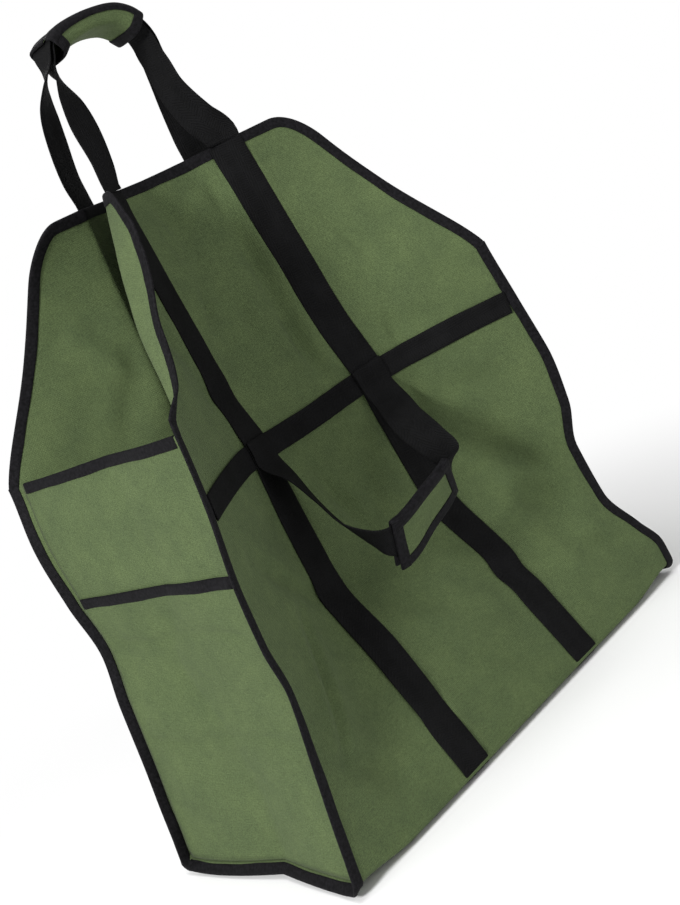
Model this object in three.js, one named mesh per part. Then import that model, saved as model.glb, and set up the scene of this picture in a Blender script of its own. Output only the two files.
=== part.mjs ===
// Canvas log carrier: an open-topped firewood bag that stands on its flat base with its handles up.
// Millimetres, +Z up. X runs along the bag, the front wall faces -Y, and the bag stands on z = 0.
import * as THREE from 'three';

// Driving dimensions
const bagLength = 590;        // base, end to end, outside the tape
const bagDepth = 300;         // base, front to back
const rimHeight = 675;        // top edge of the two walls above the floor
const shoulderHeight = 453;   // top edge of the end walls, where the wings begin
const rimLength = 400;        // top edge of a wall before its corners are rounded
const wingCornerRadius = 70;  // rounded upper corner of a wing
const baseFoldRadius = 8;     // fold of the sheet along the two long edges of the base
const clothThick = 1.5;       // heavy coated canvas
const tapeShow = 10.5;        // depth of the folded binding tape on each face
const tapeThick = 0.8;        // one leg of the tape
const webWidth = 38;          // polypropylene webbing
const crossWidth = 26;        // narrower webbing of the cross straps
const webThick = 2;
const seamGap = 0.3;          // space left between sewn pieces
const pocketHeight = 318;     // mouth of the end pockets above the floor
const crossHeight = 382;      // centre line of the cross straps above the floor
const strapSpanBase = 206;    // centres of the two straps, at the base
const strapSpanRim = 160;     // and at the rim
const finLift = 7.4;          // the base ends stand on their taped seam by this much
const finSlant = 45;          // degrees that the taped base seam points down
const cornerSlant = 28;       // and the same beside the corner folds
const foldSetback = 14;       // the lapel folds this far inside the taped edge, at the shoulder
const foldClear = 5;          // and this far outside the strap, at the rim
const lapelRadius = 4;        // radius of that fold
const handleRise = 168;       // middle of the top loops above the rim
const topGripWidth = 48;
const topGripHeight = 24;
const sideHandleOut = 95;     // how far a side grip hangs out from its straps
const sideHandleDrop = 118;   // and how far below their crossings
const sideGripHang = 56;      // folded height of the side grips
const edgeRoom = 0.8;         // cloth left free beside a tape
const creaseWidth = 0.85;     // half the width of an end wall's crease, as a share of half the depth
const creasePower = 1.5;      // how sharply that crease narrows to its line
const nearFold = 0.9;         // share of the wall's half width beyond which a column is by the corner fold
const crossMargin = 5;        // rows above and below a cross strap
const mouthRoom = 0.8;        // share of the tape's strip kept clear of other rows
const handleStand = 0.5;      // the side handles are sewn this far off the straps below them

const halfLength = bagLength / 2;
const halfDepth = bagDepth / 2;
const baseLevel = webThick + seamGap + clothThick / 2;
const edgeStrip = tapeShow + edgeRoom;
const layer = webThick + seamGap;
const loopSpacing = layer + 1.8;
const tapeGap = seamGap + 0.2;
const tapeStack = clothThick / 2 + tapeGap + tapeThick;

const canvasGreen = 0x4c5a3c;
const panelGreen = 0x62754f;
const webBlack = 0x1b1b1e;
const tapeBlack = 0x232226;

// The walls from the base up. Shares: rise of the rim height, mid, the edges and the valley between
// the straps of half the depth, reach of half the length. In the valley both walls curve backward.
const wallSections = [
  { rise: 0.000, mid: 1.000, valley: 0.000, frontEdge: 1.000, backEdge: 1.000, reach: 1.000 },
  { rise: 0.214, mid: 0.630, valley: 0.020, frontEdge: 1.000, backEdge: 1.010, reach: 0.936 },
  { rise: 0.343, mid: 0.360, valley: 0.064, frontEdge: 1.010, backEdge: 1.030, reach: 0.894 },
  { rise: 0.565, mid: 0.335, valley: 0.145, frontEdge: 1.030, backEdge: 1.140, reach: 0.824 },
  { rise: 0.671, mid: 0.250, valley: 0.180, frontEdge: 1.035, backEdge: 1.260, reach: 0.790 },
  { rise: 0.840, mid: 0.198, valley: 0.216, frontEdge: 0.735, backEdge: 0.770, reach: 0.770 },
  { rise: 0.930, mid: 0.170, valley: 0.236, frontEdge: 0.575, backEdge: 0.450, reach: 0.758 },
  { rise: 1.000, mid: 0.148, valley: 0.250, frontEdge: 0.450, backEdge: 0.070, reach: 0.750 },
];

// How far the four corner seams are pushed in, as shares of half the length (in) and depth (back).
const seamKinks = [
  { rise: 0.00, frontLeft: 0.000, backLeft: 0.000, frontRight: 0.000, backRight: 0.000, yield: 0.000 },
  { rise: 0.06, frontLeft: 0.005, backLeft: 0.003, frontRight: -0.010, backRight: 0.004, yield: 0.000 },
  { rise: 0.11, frontLeft: 0.012, backLeft: 0.006, frontRight: 0.020, backRight: 0.010, yield: 0.060 },
  { rise: 0.19, frontLeft: 0.026, backLeft: 0.014, frontRight: 0.075, backRight: 0.022, yield: 0.120 },
  { rise: 0.29, frontLeft: 0.040, backLeft: 0.018, frontRight: 0.075, backRight: 0.035, yield: 0.100 },
  { rise: 0.37, frontLeft: 0.008, backLeft: 0.034, frontRight: 0.030, backRight: 0.012, yield: 0.020 },
  { rise: 0.47, frontLeft: -0.004, backLeft: -0.006, frontRight: -0.004, backRight: -0.004, yield: 0.000 },
  { rise: 0.57, frontLeft: 0.006, backLeft: -0.028, frontRight: 0.000, backRight: -0.010, yield: 0.000 },
  { rise: 0.671, frontLeft: 0.000, backLeft: 0.000, frontRight: 0.000, backRight: 0.000, yield: 0.000 },
  { rise: 1.00, frontLeft: 0.000, backLeft: 0.000, frontRight: 0.000, backRight: 0.000, yield: 0.000 },
];

// Folds and dents of the walls. Places and sizes are shares: x and wide of half the length, rise and
// tall of the rim height, deep of half the depth, and lean is the drift in x for each unit of rise.
const wallDents = [
  { wall: -1, x: 0.140, rise: 0.800, wide: 0.050, tall: 0.300, deep: 0.036, lean: -0.10 },
  { wall: -1, x: -0.060, rise: 0.900, wide: 0.070, tall: 0.160, deep: 0.026, lean: -0.10 },
  { wall: -1, x: 0.000, rise: 0.450, wide: 0.240, tall: 0.120, deep: 0.050, lean: 0.00 },
  { wall: -1, x: -0.550, rise: 0.180, wide: 0.200, tall: 0.150, deep: 0.050, lean: 0.60 },
  { wall: -1, x: 0.700, rise: 0.230, wide: 0.180, tall: 0.110, deep: 0.060, lean: 0.40 },
  { wall: -1, x: 0.600, rise: 0.500, wide: 0.220, tall: 0.120, deep: -0.035, lean: 0.00 },
  { wall: -1, x: 0.020, rise: 0.170, wide: 0.260, tall: 0.120, deep: -0.035, lean: 0.00 },
  { wall: 1, x: -0.550, rise: 0.600, wide: 0.200, tall: 0.160, deep: 0.050, lean: 0.30 },
  { wall: 1, x: 0.450, rise: 0.300, wide: 0.240, tall: 0.140, deep: 0.045, lean: -0.30 },
  { wall: 1, x: 0.050, rise: 0.750, wide: 0.090, tall: 0.220, deep: 0.030, lean: 0.10 },
];

// The lapel: the front left wing is turned outward. along runs up its fold, turn is in degrees.
const lapelTurns = [
  { along: 0.00, turn: 0 },
  { along: 0.10, turn: 43 },
  { along: 0.20, turn: 53 },
  { along: 0.30, turn: 56 },
  { along: 0.40, turn: 59 },
  { along: 0.52, turn: 60 },
  { along: 0.65, turn: 56 },
  { along: 0.80, turn: 49 },
  { along: 1.00, turn: 46 },
  { along: 1.20, turn: 46 },
];

// The crease down each end wall: where it runs and how deep it is, as shares of half the depth.
const endCreases = [
  { rise: 0.000, leftAt: -0.10, leftIn: 0.090, rightAt: 0.12, rightIn: 0.050 },
  { rise: 0.110, leftAt: -0.15, leftIn: 0.060, rightAt: 0.12, rightIn: 0.035 },
  { rise: 0.210, leftAt: -0.10, leftIn: 0.035, rightAt: 0.05, rightIn: 0.040 },
  { rise: 0.343, leftAt: 0.22, leftIn: 0.080, rightAt: -0.15, rightIn: 0.070 },
  { rise: 0.486, leftAt: -0.18, leftIn: 0.040, rightAt: 0.10, rightIn: 0.040 },
  { rise: 0.671, leftAt: -0.12, leftIn: 0.030, rightAt: 0.10, rightIn: 0.030 },
];

// Rows of cloth below the shoulder, as shares of the shoulder height
const lowerRows = [0.11, 0.22, 0.31, 0.41, 0.50, 0.62];
// Rows across the base, as shares of half the depth
const baseRows = [-0.72, -0.42, -0.10, 0.16, 0.45, 0.74];
// Columns between the straps, as shares of the way from middle to strap
const middleColumns = [-0.54, -0.06, 0.34, 0.70];
const wingDivisions = 3;
const lapelDivisions = 2;
const wingRows = 5;

function clamp(value, low, high) {
  return Math.min(high, Math.max(low, value));
}

function mix(a, b, t) {
  return a + (b - a) * t;
}

// Straight-line reading of a table
function lookUp(table, key, at, column) {
  let i = 1;
  while (i < table.length - 1 && at > table[i][key]) i += 1;
  const low = table[i - 1];
  const high = table[i];
  const t = clamp((at - low[key]) / (high[key] - low[key]), 0, 1);
  return mix(low[column], high[column], t);
}

function strapCentre(z) {
  return mix(strapSpanBase, strapSpanRim, clamp(z / rimHeight, 0, 1)) / 2;
}

// Depth of the valley between the straps at height z
function valleyDepth(z) {
  return halfDepth * lookUp(wallSections, 'rise', z / rimHeight, 'valley');
}

// Half of a strap's width as seen along the bag's depth, since the valley turns the straps
function strapHalf(z) {
  const centre = strapCentre(z);
  const slope = 2 * valleyDepth(z) * centre / (centre + webWidth / 2) ** 2;
  return webWidth / 2 / Math.hypot(1, slope);
}

// A flat pattern place on a wall: p across from the middle, z up. side is -1 in front and 1 behind.
function flatWallPoint(side, p, z) {
  const hand = p < 0 ? -1 : 1;
  const rise = z / rimHeight;
  const bend = strapCentre(z) + strapHalf(z);
  const t = clamp((Math.abs(p) - bend) / (halfLength - bend), 0, 1);
  const mid = lookUp(wallSections, 'rise', rise, 'mid');
  const edge = lookUp(wallSections, 'rise', rise, side < 0 ? 'frontEdge' : 'backEdge');
  const reach = lookUp(wallSections, 'rise', rise, 'reach') * halfLength;
  const corner = (side < 0 ? 'front' : 'back') + (hand < 0 ? 'Left' : 'Right');
  const kink = lookUp(seamKinks, 'rise', rise, corner) * halfLength * t * t;
  const isYielding = side < 0 && hand > 0;
  const yielding = isYielding ? lookUp(seamKinks, 'rise', rise, 'yield') * halfDepth * t * t : 0;
  const slope = t * t / (t + 0.08) * 1.08;
  const level = (strapCentre(z) / bend) ** 2;
  const hollow = t > 0 ? (1 - level) * (1 - slope) : (p / bend) ** 2 - level;
  let depth = halfDepth * mix(mid, edge, slope) - side * valleyDepth(z) * hollow - yielding;
  for (const dent of wallDents) {
    if (dent.wall !== side) continue;
    const across = (p / halfLength - dent.x - dent.lean * (rise - dent.rise)) / dent.wide;
    const up = (rise - dent.rise) / dent.tall;
    const near = across * across + up * up;
    if (near < 1) depth -= dent.deep * halfDepth * (1 - near) ** 2;
  }
  const x = hand * (Math.min(Math.abs(p), bend) + (reach - bend) * t - kink);
  const lift = endLift(p) * clamp(1 - rise / 0.06, 0, 1);
  return new THREE.Vector3(x, side * depth, z + lift);
}

// The ends of the base are held up by their taped seam
function endLift(p) {
  const t = clamp((Math.abs(p) / halfLength - 0.7) / 0.25, 0, 1);
  return finLift * t * t * (3 - 2 * t);
}

// The lapel's fold in the flat pattern
const foldStart = { p: -(halfLength - edgeStrip - foldSetback), z: shoulderHeight };
const foldEnd = { p: -(strapCentre(rimHeight) + strapHalf(rimHeight) + foldClear), z: rimHeight - edgeStrip };
const foldSize = Math.hypot(foldEnd.p - foldStart.p, foldEnd.z - foldStart.z);
const foldDir = { p: (foldEnd.p - foldStart.p) / foldSize, z: (foldEnd.z - foldStart.z) / foldSize };

function wallPoint(side, p, z) {
  const beyond = -(p - foldStart.p) * foldDir.z + (z - foldStart.z) * foldDir.p;
  const along = (p - foldStart.p) * foldDir.p + (z - foldStart.z) * foldDir.z;
  if (side > 0 || p > 0 || beyond <= 0 || along <= 0) return flatWallPoint(side, p, z);
  const foot = { p: foldStart.p + foldDir.p * along, z: foldStart.z + foldDir.z * along };
  const step = 5;
  const origin = flatWallPoint(side, foot.p, foot.z);
  const outward = flatWallPoint(side, foot.p - foldDir.z * step, foot.z + foldDir.p * step);
  outward.sub(origin).normalize();
  const upward = flatWallPoint(side, foot.p + foldDir.p * step, foot.z + foldDir.z * step);
  upward.sub(origin).normalize();
  const facing = new THREE.Vector3().crossVectors(upward, outward).normalize();
  const turn = THREE.MathUtils.degToRad(lookUp(lapelTurns, 'along', along / foldSize, 'turn'));
  const bent = Math.min(beyond / lapelRadius, turn);
  const straight = Math.max(0, beyond - lapelRadius * turn);
  return origin
    .addScaledVector(outward, lapelRadius * Math.sin(bent) + straight * Math.cos(turn))
    .addScaledVector(facing, lapelRadius * (1 - Math.cos(bent)) + straight * Math.sin(turn));
}

// Outline of a wing, as pattern places in order from the shoulder to the middle of the rounded
// corner. inset is the distance inside the cloth's edge.
function wingOutline(inset, count) {
  const sideAngle = Math.atan2(halfLength - rimLength / 2, rimHeight - shoulderHeight);
  const radius = wingCornerRadius - inset;
  const half = (Math.PI / 2 - sideAngle) / 2;
  const tangent = wingCornerRadius * Math.tan(half);
  const centre = { p: rimLength / 2 - tangent, z: rimHeight - wingCornerRadius };
  const startP = halfLength - inset * (1 - Math.sin(sideAngle)) / Math.cos(sideAngle);
  const arcStart = {
    p: centre.p + radius * Math.cos(sideAngle),
    z: centre.z + radius * Math.sin(sideAngle),
  };
  const sideLength = Math.hypot(arcStart.p - startP, arcStart.z - shoulderHeight);
  const arcLength = radius * half;
  const places = [];
  for (let k = 0; k <= count; k += 1) {
    const s = (sideLength + arcLength) * k / count;
    const t = Math.min(1, s / sideLength);
    const turned = sideAngle + Math.max(0, s - sideLength) / radius;
    if (t < 1) places.push({ p: mix(startP, arcStart.p, t), z: mix(shoulderHeight, arcStart.z, t) });
    else places.push({ p: centre.p + radius * Math.cos(turned), z: centre.z + radius * Math.sin(turned) });
  }
  return { places, centre, radius, half, sideAngle };
}

// The top edge from the fold's end to the middle of the rounded corner
function topOutline(inset, count) {
  const { centre, radius, half } = wingOutline(inset, 1);
  const straight = centre.p + foldEnd.p;
  const arcLength = radius * half;
  const places = [];
  for (let k = 0; k <= count; k += 1) {
    const s = (straight + arcLength) * k / count;
    const turned = Math.PI / 2 - Math.max(0, s - straight) / radius;
    if (s <= straight) places.push({ p: -foldEnd.p + s, z: rimHeight - inset });
    else places.push({ p: centre.p + radius * Math.cos(turned), z: centre.z + radius * Math.sin(turned) });
  }
  return places;
}

// Columns of one half of a wall at height z below the shoulder, from strap edge to taped edge
function halfColumns(z) {
  const strapEdge = strapCentre(z) + strapHalf(z);
  const places = [];
  for (let k = 1; k <= wingDivisions; k += 1) {
    places.push({ p: mix(strapEdge, -foldStart.p, k / wingDivisions), z });
  }
  for (let k = 1; k <= lapelDivisions; k += 1) {
    places.push({ p: mix(-foldStart.p, halfLength - edgeStrip, k / lapelDivisions), z });
  }
  return places;
}

// The same above the shoulder, for row j of wingRows
function wingColumns(j, strapEdge, z) {
  const t = j / wingRows;
  const side = wingOutline(edgeStrip, wingRows).places[j];
  const top = topOutline(edgeStrip, lapelDivisions);
  const fold = { p: -mix(foldStart.p, foldEnd.p, t), z: mix(foldStart.z, foldEnd.z, t) };
  const corner = wingOutline(edgeStrip, wingRows).places[wingRows];
  const places = [];
  for (let k = 1; k <= wingDivisions; k += 1) {
    const s = k / wingDivisions;
    places.push({ p: mix(strapEdge, fold.p, s), z: mix(z, fold.z, s) });
  }
  for (let k = 1; k <= lapelDivisions; k += 1) {
    const s = k / lapelDivisions;
    const pull = t * t;
    places.push({
      p: mix(fold.p, side.p, s) + (top[k].p - mix(-foldEnd.p, corner.p, s)) * pull,
      z: mix(fold.z, side.z, s) + (top[k].z - mix(foldEnd.z, corner.z, s)) * pull,
    });
  }
  return places;
}

function patternRow(z, outer) {
  const centre = strapCentre(z);
  const half = strapHalf(z);
  const inner = centre - half;
  const left = outer.map((place) => ({ p: -place.p, z: place.z })).reverse();
  const strap = [centre + half, centre, inner];
  const middle = middleColumns.map((share) => ({ p: share * inner, z }));
  return [
    ...left,
    ...strap.map((p) => ({ p: -p, z })),
    ...middle,
    ...strap.reverse().map((p) => ({ p, z })),
    ...outer,
  ];
}

const crossRows = [
  crossHeight - crossWidth / 2 - crossMargin,
  crossHeight - crossWidth / 2,
  crossHeight + crossWidth / 2,
  crossHeight + crossWidth / 2 + crossMargin,
];
const foldLevel = baseLevel + baseFoldRadius;

// Rows of a wall in the flat pattern, from the base fold to the inner edge of the rim tape
function wallPattern() {
  const heights = [foldLevel];
  for (const share of lowerRows) heights.push(share * shoulderHeight);
  heights.push(...crossRows, shoulderHeight);
  const rows = heights.map((z) => patternRow(z, halfColumns(z)));
  for (let j = 1; j <= wingRows; j += 1) {
    const z = mix(shoulderHeight, rimHeight - edgeStrip, j / wingRows);
    rows.push(patternRow(z, wingColumns(j, strapCentre(z) + strapHalf(z), z)));
  }
  return { heights, rows };
}

// How far the short ends of the base are pushed in at a depth y
function baseKink(hand, y) {
  const at = lookUp(endCreases, 'rise', 0, hand < 0 ? 'leftAt' : 'rightAt');
  const deep = lookUp(endCreases, 'rise', 0, hand < 0 ? 'leftIn' : 'rightIn') * halfDepth;
  const near = clamp(1 - Math.abs(y / halfDepth - at) / creaseWidth, 0, 1);
  return deep * near ** creasePower;
}

function basePoint(p, y) {
  const hand = p < 0 ? -1 : 1;
  const t = clamp((Math.abs(p) / halfLength - 0.55) / 0.42, 0, 1);
  const kink = baseKink(hand, y) * t * t;
  return new THREE.Vector3(p - hand * kink, y, baseLevel + endLift(p) + kink * 0.25);
}

// The fold between base and wall, angle 0 at the wall and 90 degrees at the base
function foldPoint(side, p, angle) {
  const y = side * (halfDepth - baseFoldRadius + baseFoldRadius * Math.cos(angle));
  const z = foldLevel - baseFoldRadius * Math.sin(angle);
  return new THREE.Vector3(p, y, z + endLift(p));
}

// The main sheet's inner grid, front rim to back rim, and the edge that the tape wraps
function sheetGrid() {
  const { heights, rows } = wallPattern();
  const grid = [];
  const marks = [];
  for (let r = rows.length - 1; r >= 0; r -= 1) {
    grid.push(rows[r].map(({ p, z }) => wallPoint(-1, p, z)));
    marks.push({ zone: 'front', row: r });
  }
  const flat = rows[0].map((place) => place.p);
  grid.push(flat.map((p) => foldPoint(-1, p, Math.PI / 4)));
  marks.push({ zone: 'frontFold' });
  const spots = [-1 + baseFoldRadius / halfDepth, ...baseRows, 1 - baseFoldRadius / halfDepth];
  for (const share of spots) {
    grid.push(flat.map((p) => basePoint(p, share * halfDepth)));
    marks.push({ zone: 'base', share });
  }
  grid.push(flat.map((p) => foldPoint(1, p, Math.PI / 4)));
  marks.push({ zone: 'backFold' });
  for (let r = 0; r < rows.length; r += 1) {
    grid.push(rows[r].map(({ p, z }) => wallPoint(1, p, z)));
    marks.push({ zone: 'back', row: r });
  }
  return { grid, marks, heights, rows };
}

const sheet = sheetGrid();
const rowCount = sheet.grid.length;
const columnCount = sheet.grid[0].length;
const wallRows = sheet.rows.length;
const shoulderRow = sheet.heights.length - 1;
const halfCount = wingDivisions + lapelDivisions;

// The cloth's edge beside a place of the inner grid, on the left (hand -1) or right
function sideEdge(hand, index) {
  const { zone, row, share } = sheet.marks[index];
  const column = hand < 0 ? 0 : columnCount - 1;
  const inner = sheet.grid[index][column];
  if (zone === 'base') {
    const isNearFold = Math.abs(share) > nearFold;
    const slant = THREE.MathUtils.degToRad(isNearFold ? cornerSlant : finSlant);
    const out = hand * edgeStrip * Math.cos(slant);
    return new THREE.Vector3(inner.x + out, inner.y, inner.z - edgeStrip * Math.sin(slant));
  }
  if (zone === 'frontFold' || zone === 'backFold') {
    const slant = THREE.MathUtils.degToRad(cornerSlant / 2);
    const out = hand * edgeStrip * Math.cos(slant);
    return new THREE.Vector3(inner.x + out, inner.y, inner.z - edgeStrip * Math.sin(slant));
  }
  const side = zone === 'front' ? -1 : 1;
  if (row < shoulderRow) return wallPoint(side, hand * halfLength, sheet.rows[row][0].z);
  const place = wingOutline(0, wingRows).places[row - shoulderRow];
  return wallPoint(side, hand * place.p, place.z);
}

// The cloth's edge above a place of the inner rim row
function rimEdge(side, column) {
  const row = sheet.rows[wallRows - 1];
  const place = row[column];
  const { centre, radius } = wingOutline(edgeStrip, wingRows);
  const isRound = Math.abs(place.p) > centre.p + 0.01;
  if (!isRound) return wallPoint(side, place.p, rimHeight);
  const hand = Math.sign(place.p);
  const ux = (Math.abs(place.p) - centre.p) / radius;
  const uz = (place.z - centre.z) / radius;
  return wallPoint(side, hand * (centre.p + ux * wingCornerRadius), centre.z + uz * wingCornerRadius);
}

// Surfaces are lists of points and triangles. They become closed walls of even thickness.
function gridSurface(grid) {
  const points = grid.flat();
  const wide = grid[0].length;
  const faces = [];
  for (let r = 0; r + 1 < grid.length; r += 1) {
    for (let c = 0; c + 1 < wide; c += 1) {
      const a = r * wide + c;
      faces.push([a, a + wide, a + wide + 1], [a, a + wide + 1, a + 1]);
    }
  }
  return { points, faces };
}

function surfaceNormals({ points, faces }) {
  const normals = points.map(() => new THREE.Vector3());
  const faceNormals = [];
  for (const [a, b, c] of faces) {
    const ab = points[b].clone().sub(points[a]);
    const ac = points[c].clone().sub(points[a]);
    const normal = ab.cross(ac).normalize();
    faceNormals.push(normal);
    const corners = [[a, b, c], [b, c, a], [c, a, b]];
    for (const [at, next, last] of corners) {
      const angle = points[next].clone().sub(points[at]).angleTo(points[last].clone().sub(points[at]));
      normals[at].addScaledVector(normal, angle);
    }
  }
  normals.forEach((normal) => normal.normalize());
  return { normals, faceNormals };
}

// Normals lengthened at folds, so that an offset keeps its distance from the faces
function mitredNormals(surface) {
  const { normals, faceNormals } = surfaceNormals(surface);
  const spread = surface.points.map(() => ({ sum: 0, count: 0 }));
  surface.faces.forEach((face, i) => face.forEach((v) => {
    spread[v].sum += normals[v].dot(faceNormals[i]);
    spread[v].count += 1;
  }));
  return normals.map((normal, v) => normal.divideScalar(clamp(spread[v].sum / spread[v].count, 0.6, 1)));
}

function wallSolid(surface, thickness) {
  const { points, faces } = surface;
  const normals = mitredNormals(surface);
  const vertices = [];
  for (const way of [1, -1]) {
    points.forEach((point, v) => {
      vertices.push(point.clone().addScaledVector(normals[v], way * thickness / 2));
    });
  }
  const triangles = [];
  const edges = new Map();
  const count = points.length;
  for (const [a, b, c] of faces) {
    triangles.push([a, b, c], [a + count, c + count, b + count]);
    for (const [from, to] of [[a, b], [b, c], [c, a]]) edges.set(`${from},${to}`, [from, to]);
  }
  for (const [from, to] of edges.values()) {
    if (edges.has(`${to},${from}`)) continue;
    triangles.push([to, from, from + count], [to, from + count, to + count]);
  }
  return solidGeometry(vertices, triangles);
}

function solidGeometry(vertices, triangles) {
  const geometry = new THREE.BufferGeometry();
  const numbers = vertices.flatMap((v) => [v.x, v.y, v.z]);
  geometry.setAttribute('position', new THREE.Float32BufferAttribute(numbers, 3));
  geometry.setIndex(triangles.flat());
  geometry.computeVertexNormals();
  return geometry;
}

// Folded tape round a cloth edge. Each station has the edge, the way into the cloth and its normal.
function bindingSolid(stations, isLoop = false) {
  const legIn = clothThick / 2 + tapeGap;
  const legOut = legIn + tapeThick;
  const profile = [
    [tapeShow, legOut], [-tapeGap - tapeThick, legOut], [-tapeGap - tapeThick, -legOut], [tapeShow, -legOut],
    [tapeShow, -legIn], [-tapeGap, -legIn], [-tapeGap, legIn], [tapeShow, legIn],
  ];
  const size = profile.length;
  const vertices = [];
  stations.forEach(({ edge, inward, normal, miter }) => {
    for (const [a, b] of profile) {
      vertices.push(edge.clone().addScaledVector(inward, a * miter).addScaledVector(normal, b));
    }
  });
  const triangles = [];
  const last = isLoop ? stations.length : stations.length - 1;
  for (let i = 0; i < last; i += 1) {
    const here = i * size;
    const next = ((i + 1) % stations.length) * size;
    for (let k = 0; k < size; k += 1) {
      const m = (k + 1) % size;
      const fromShow = profile[k][0] >= profile[m][0];
      if (fromShow) triangles.push([here + k, next + k, next + m], [here + k, next + m, here + m]);
      else triangles.push([here + k, next + k, here + m], [next + k, next + m, here + m]);
    }
  }
  if (!isLoop) {
    const end = (stations.length - 1) * size;
    for (const [a, b, c, d] of [[0, 1, 6, 7], [1, 2, 5, 6], [2, 3, 4, 5]]) {
      triangles.push([a, b, c], [a, c, d]);
      triangles.push([end + a, end + c, end + b], [end + a, end + d, end + c]);
    }
  }
  return outward(solidGeometry(vertices, triangles));
}

// Turns a closed solid's faces so that they point out
function outward(geometry) {
  const position = geometry.attributes.position;
  const index = geometry.index.array;
  const a = new THREE.Vector3();
  const b = new THREE.Vector3();
  const c = new THREE.Vector3();
  let volume = 0;
  for (let i = 0; i < index.length; i += 3) {
    a.fromBufferAttribute(position, index[i]);
    b.fromBufferAttribute(position, index[i + 1]);
    c.fromBufferAttribute(position, index[i + 2]);
    volume += a.dot(b.cross(c));
  }
  if (volume > 0) return geometry;
  const flipped = [];
  for (let i = 0; i < index.length; i += 3) flipped.push(index[i], index[i + 2], index[i + 1]);
  geometry.setIndex(flipped);
  geometry.computeVertexNormals();
  return geometry;
}

// Stations for a tape along matching lists of edge places and places inside them
function tapeStations(edges, inners, isLoop = false) {
  const count = edges.length;
  return edges.map((edge, i) => {
    const before = edges[isLoop ? (i + count - 1) % count : Math.max(0, i - 1)];
    const after = edges[isLoop ? (i + 1) % count : Math.min(count - 1, i + 1)];
    const along = after.clone().sub(before).normalize();
    const inward = inners[i].clone().sub(edge);
    const miter = inward.length() / edgeStrip;
    inward.normalize();
    const normal = new THREE.Vector3().crossVectors(along, inward).normalize();
    return { edge: edge.clone(), inward, normal, miter };
  });
}

// Pulls the two ends of an open tape back along its edge
function trimEnds(stations, amount) {
  const first = stations[0];
  const second = stations[1];
  const last = stations[stations.length - 1];
  const previous = stations[stations.length - 2];
  first.edge.addScaledVector(second.edge.clone().sub(first.edge).normalize(), amount);
  last.edge.addScaledVector(previous.edge.clone().sub(last.edge).normalize(), amount);
  return stations;
}

const group = new THREE.Group();

function addPiece(name, geometry, colour, roughness = 0.9) {
  const material = new THREE.MeshStandardMaterial({ color: colour, roughness, metalness: 0 });
  const mesh = new THREE.Mesh(geometry, material);
  mesh.name = name;
  group.add(mesh);
  return mesh;
}

// The main sheet: inner grid, and a strip round it that lies inside the tape
const ringInner = [];
const ringEdge = [];
for (let c = 0; c < columnCount; c += 1) {
  ringInner.push(c);
  ringEdge.push(rimEdge(-1, c));
}
for (let r = 0; r < rowCount; r += 1) {
  ringInner.push(r * columnCount + columnCount - 1);
  ringEdge.push(sideEdge(1, r));
}
for (let c = columnCount - 1; c >= 0; c -= 1) {
  ringInner.push((rowCount - 1) * columnCount + c);
  ringEdge.push(rimEdge(1, c));
}
for (let r = rowCount - 1; r >= 0; r -= 1) {
  ringInner.push(r * columnCount);
  ringEdge.push(sideEdge(-1, r));
}

// At the rounded corners the rim row and the side column share their last place, so one is kept
function samePlace(a, b) {
  return a.distanceTo(b) < 0.01;
}

const surface = gridSurface(sheet.grid);
const ring = [];
ringInner.forEach((inner, i) => {
  const previous = ring[ring.length - 1];
  const isRepeat = previous && previous.inner === inner && samePlace(previous.edge, ringEdge[i]);
  if (!isRepeat) ring.push({ inner, edge: ringEdge[i] });
});
if (ring[0].inner === ring[ring.length - 1].inner) ring.pop();
const firstRing = surface.points.length;
ring.forEach(({ edge }) => surface.points.push(edge));
ring.forEach(({ inner }, i) => {
  const next = (i + 1) % ring.length;
  surface.faces.push([inner, firstRing + next, firstRing + i]);
  if (inner !== ring[next].inner) surface.faces.push([inner, ring[next].inner, firstRing + next]);
});
const sheetNormals = mitredNormals(surface);
addPiece('main_sheet', outward(wallSolid(surface, clothThick)), canvasGreen);

// The tape along the sheet's edge: up the corner seams and across the base ends, and round the rims
function sidePair(hand, r) {
  return { edge: sideEdge(hand, r), inner: sheet.grid[r][hand < 0 ? 0 : columnCount - 1] };
}

function rimPair(side, c) {
  return { edge: rimEdge(side, c), inner: sheet.grid[side < 0 ? 0 : rowCount - 1][c] };
}

function addEdgeTape(name, pairs, trim = tapeThick) {
  const kept = pairs.filter((pair, i) => i === 0 || !samePlace(pair.edge, pairs[i - 1].edge));
  const stations = tapeStations(kept.map((pair) => pair.edge), kept.map((pair) => pair.inner));
  addPiece(name, bindingSolid(trimEnds(stations, trim)), tapeBlack);
}

function span(from, to) {
  const step = from < to ? 1 : -1;
  return Array.from({ length: Math.abs(to - from) + 1 }, (_, i) => from + step * i);
}

const frontShoulder = wingRows;
const backShoulder = rowCount - 1 - wingRows;
addEdgeTape('side_binding_right', span(frontShoulder, backShoulder).map((r) => sidePair(1, r)));
addEdgeTape('side_binding_left', span(backShoulder, frontShoulder).map((r) => sidePair(-1, r)));
addEdgeTape('rim_binding_front', [
  ...span(frontShoulder, 0).map((r) => sidePair(-1, r)),
  ...span(0, columnCount - 1).map((c) => rimPair(-1, c)),
  ...span(0, frontShoulder).map((r) => sidePair(1, r)),
]);
addEdgeTape('rim_binding_back', [
  ...span(backShoulder, rowCount - 1).map((r) => sidePair(1, r)),
  ...span(columnCount - 1, 0).map((c) => rimPair(1, c)),
  ...span(rowCount - 1, backShoulder).map((r) => sidePair(-1, r)),
]);

// End walls stand inside the sheet, and each has a flat pocket outside it
const standSpare = 0.8;        // room between the faces of wall and sheet beside the seams
const wallSlant = 1.45;       // more room between their side edges, where the walls slant most
const pocketInset = tapeStack + seamGap;
const endInset = pocketInset + (tapeStack + clothThick / 2 + 2 * seamGap) * wallSlant;
const endStandOff = clothThick / 2 + seamGap + standSpare;

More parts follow.
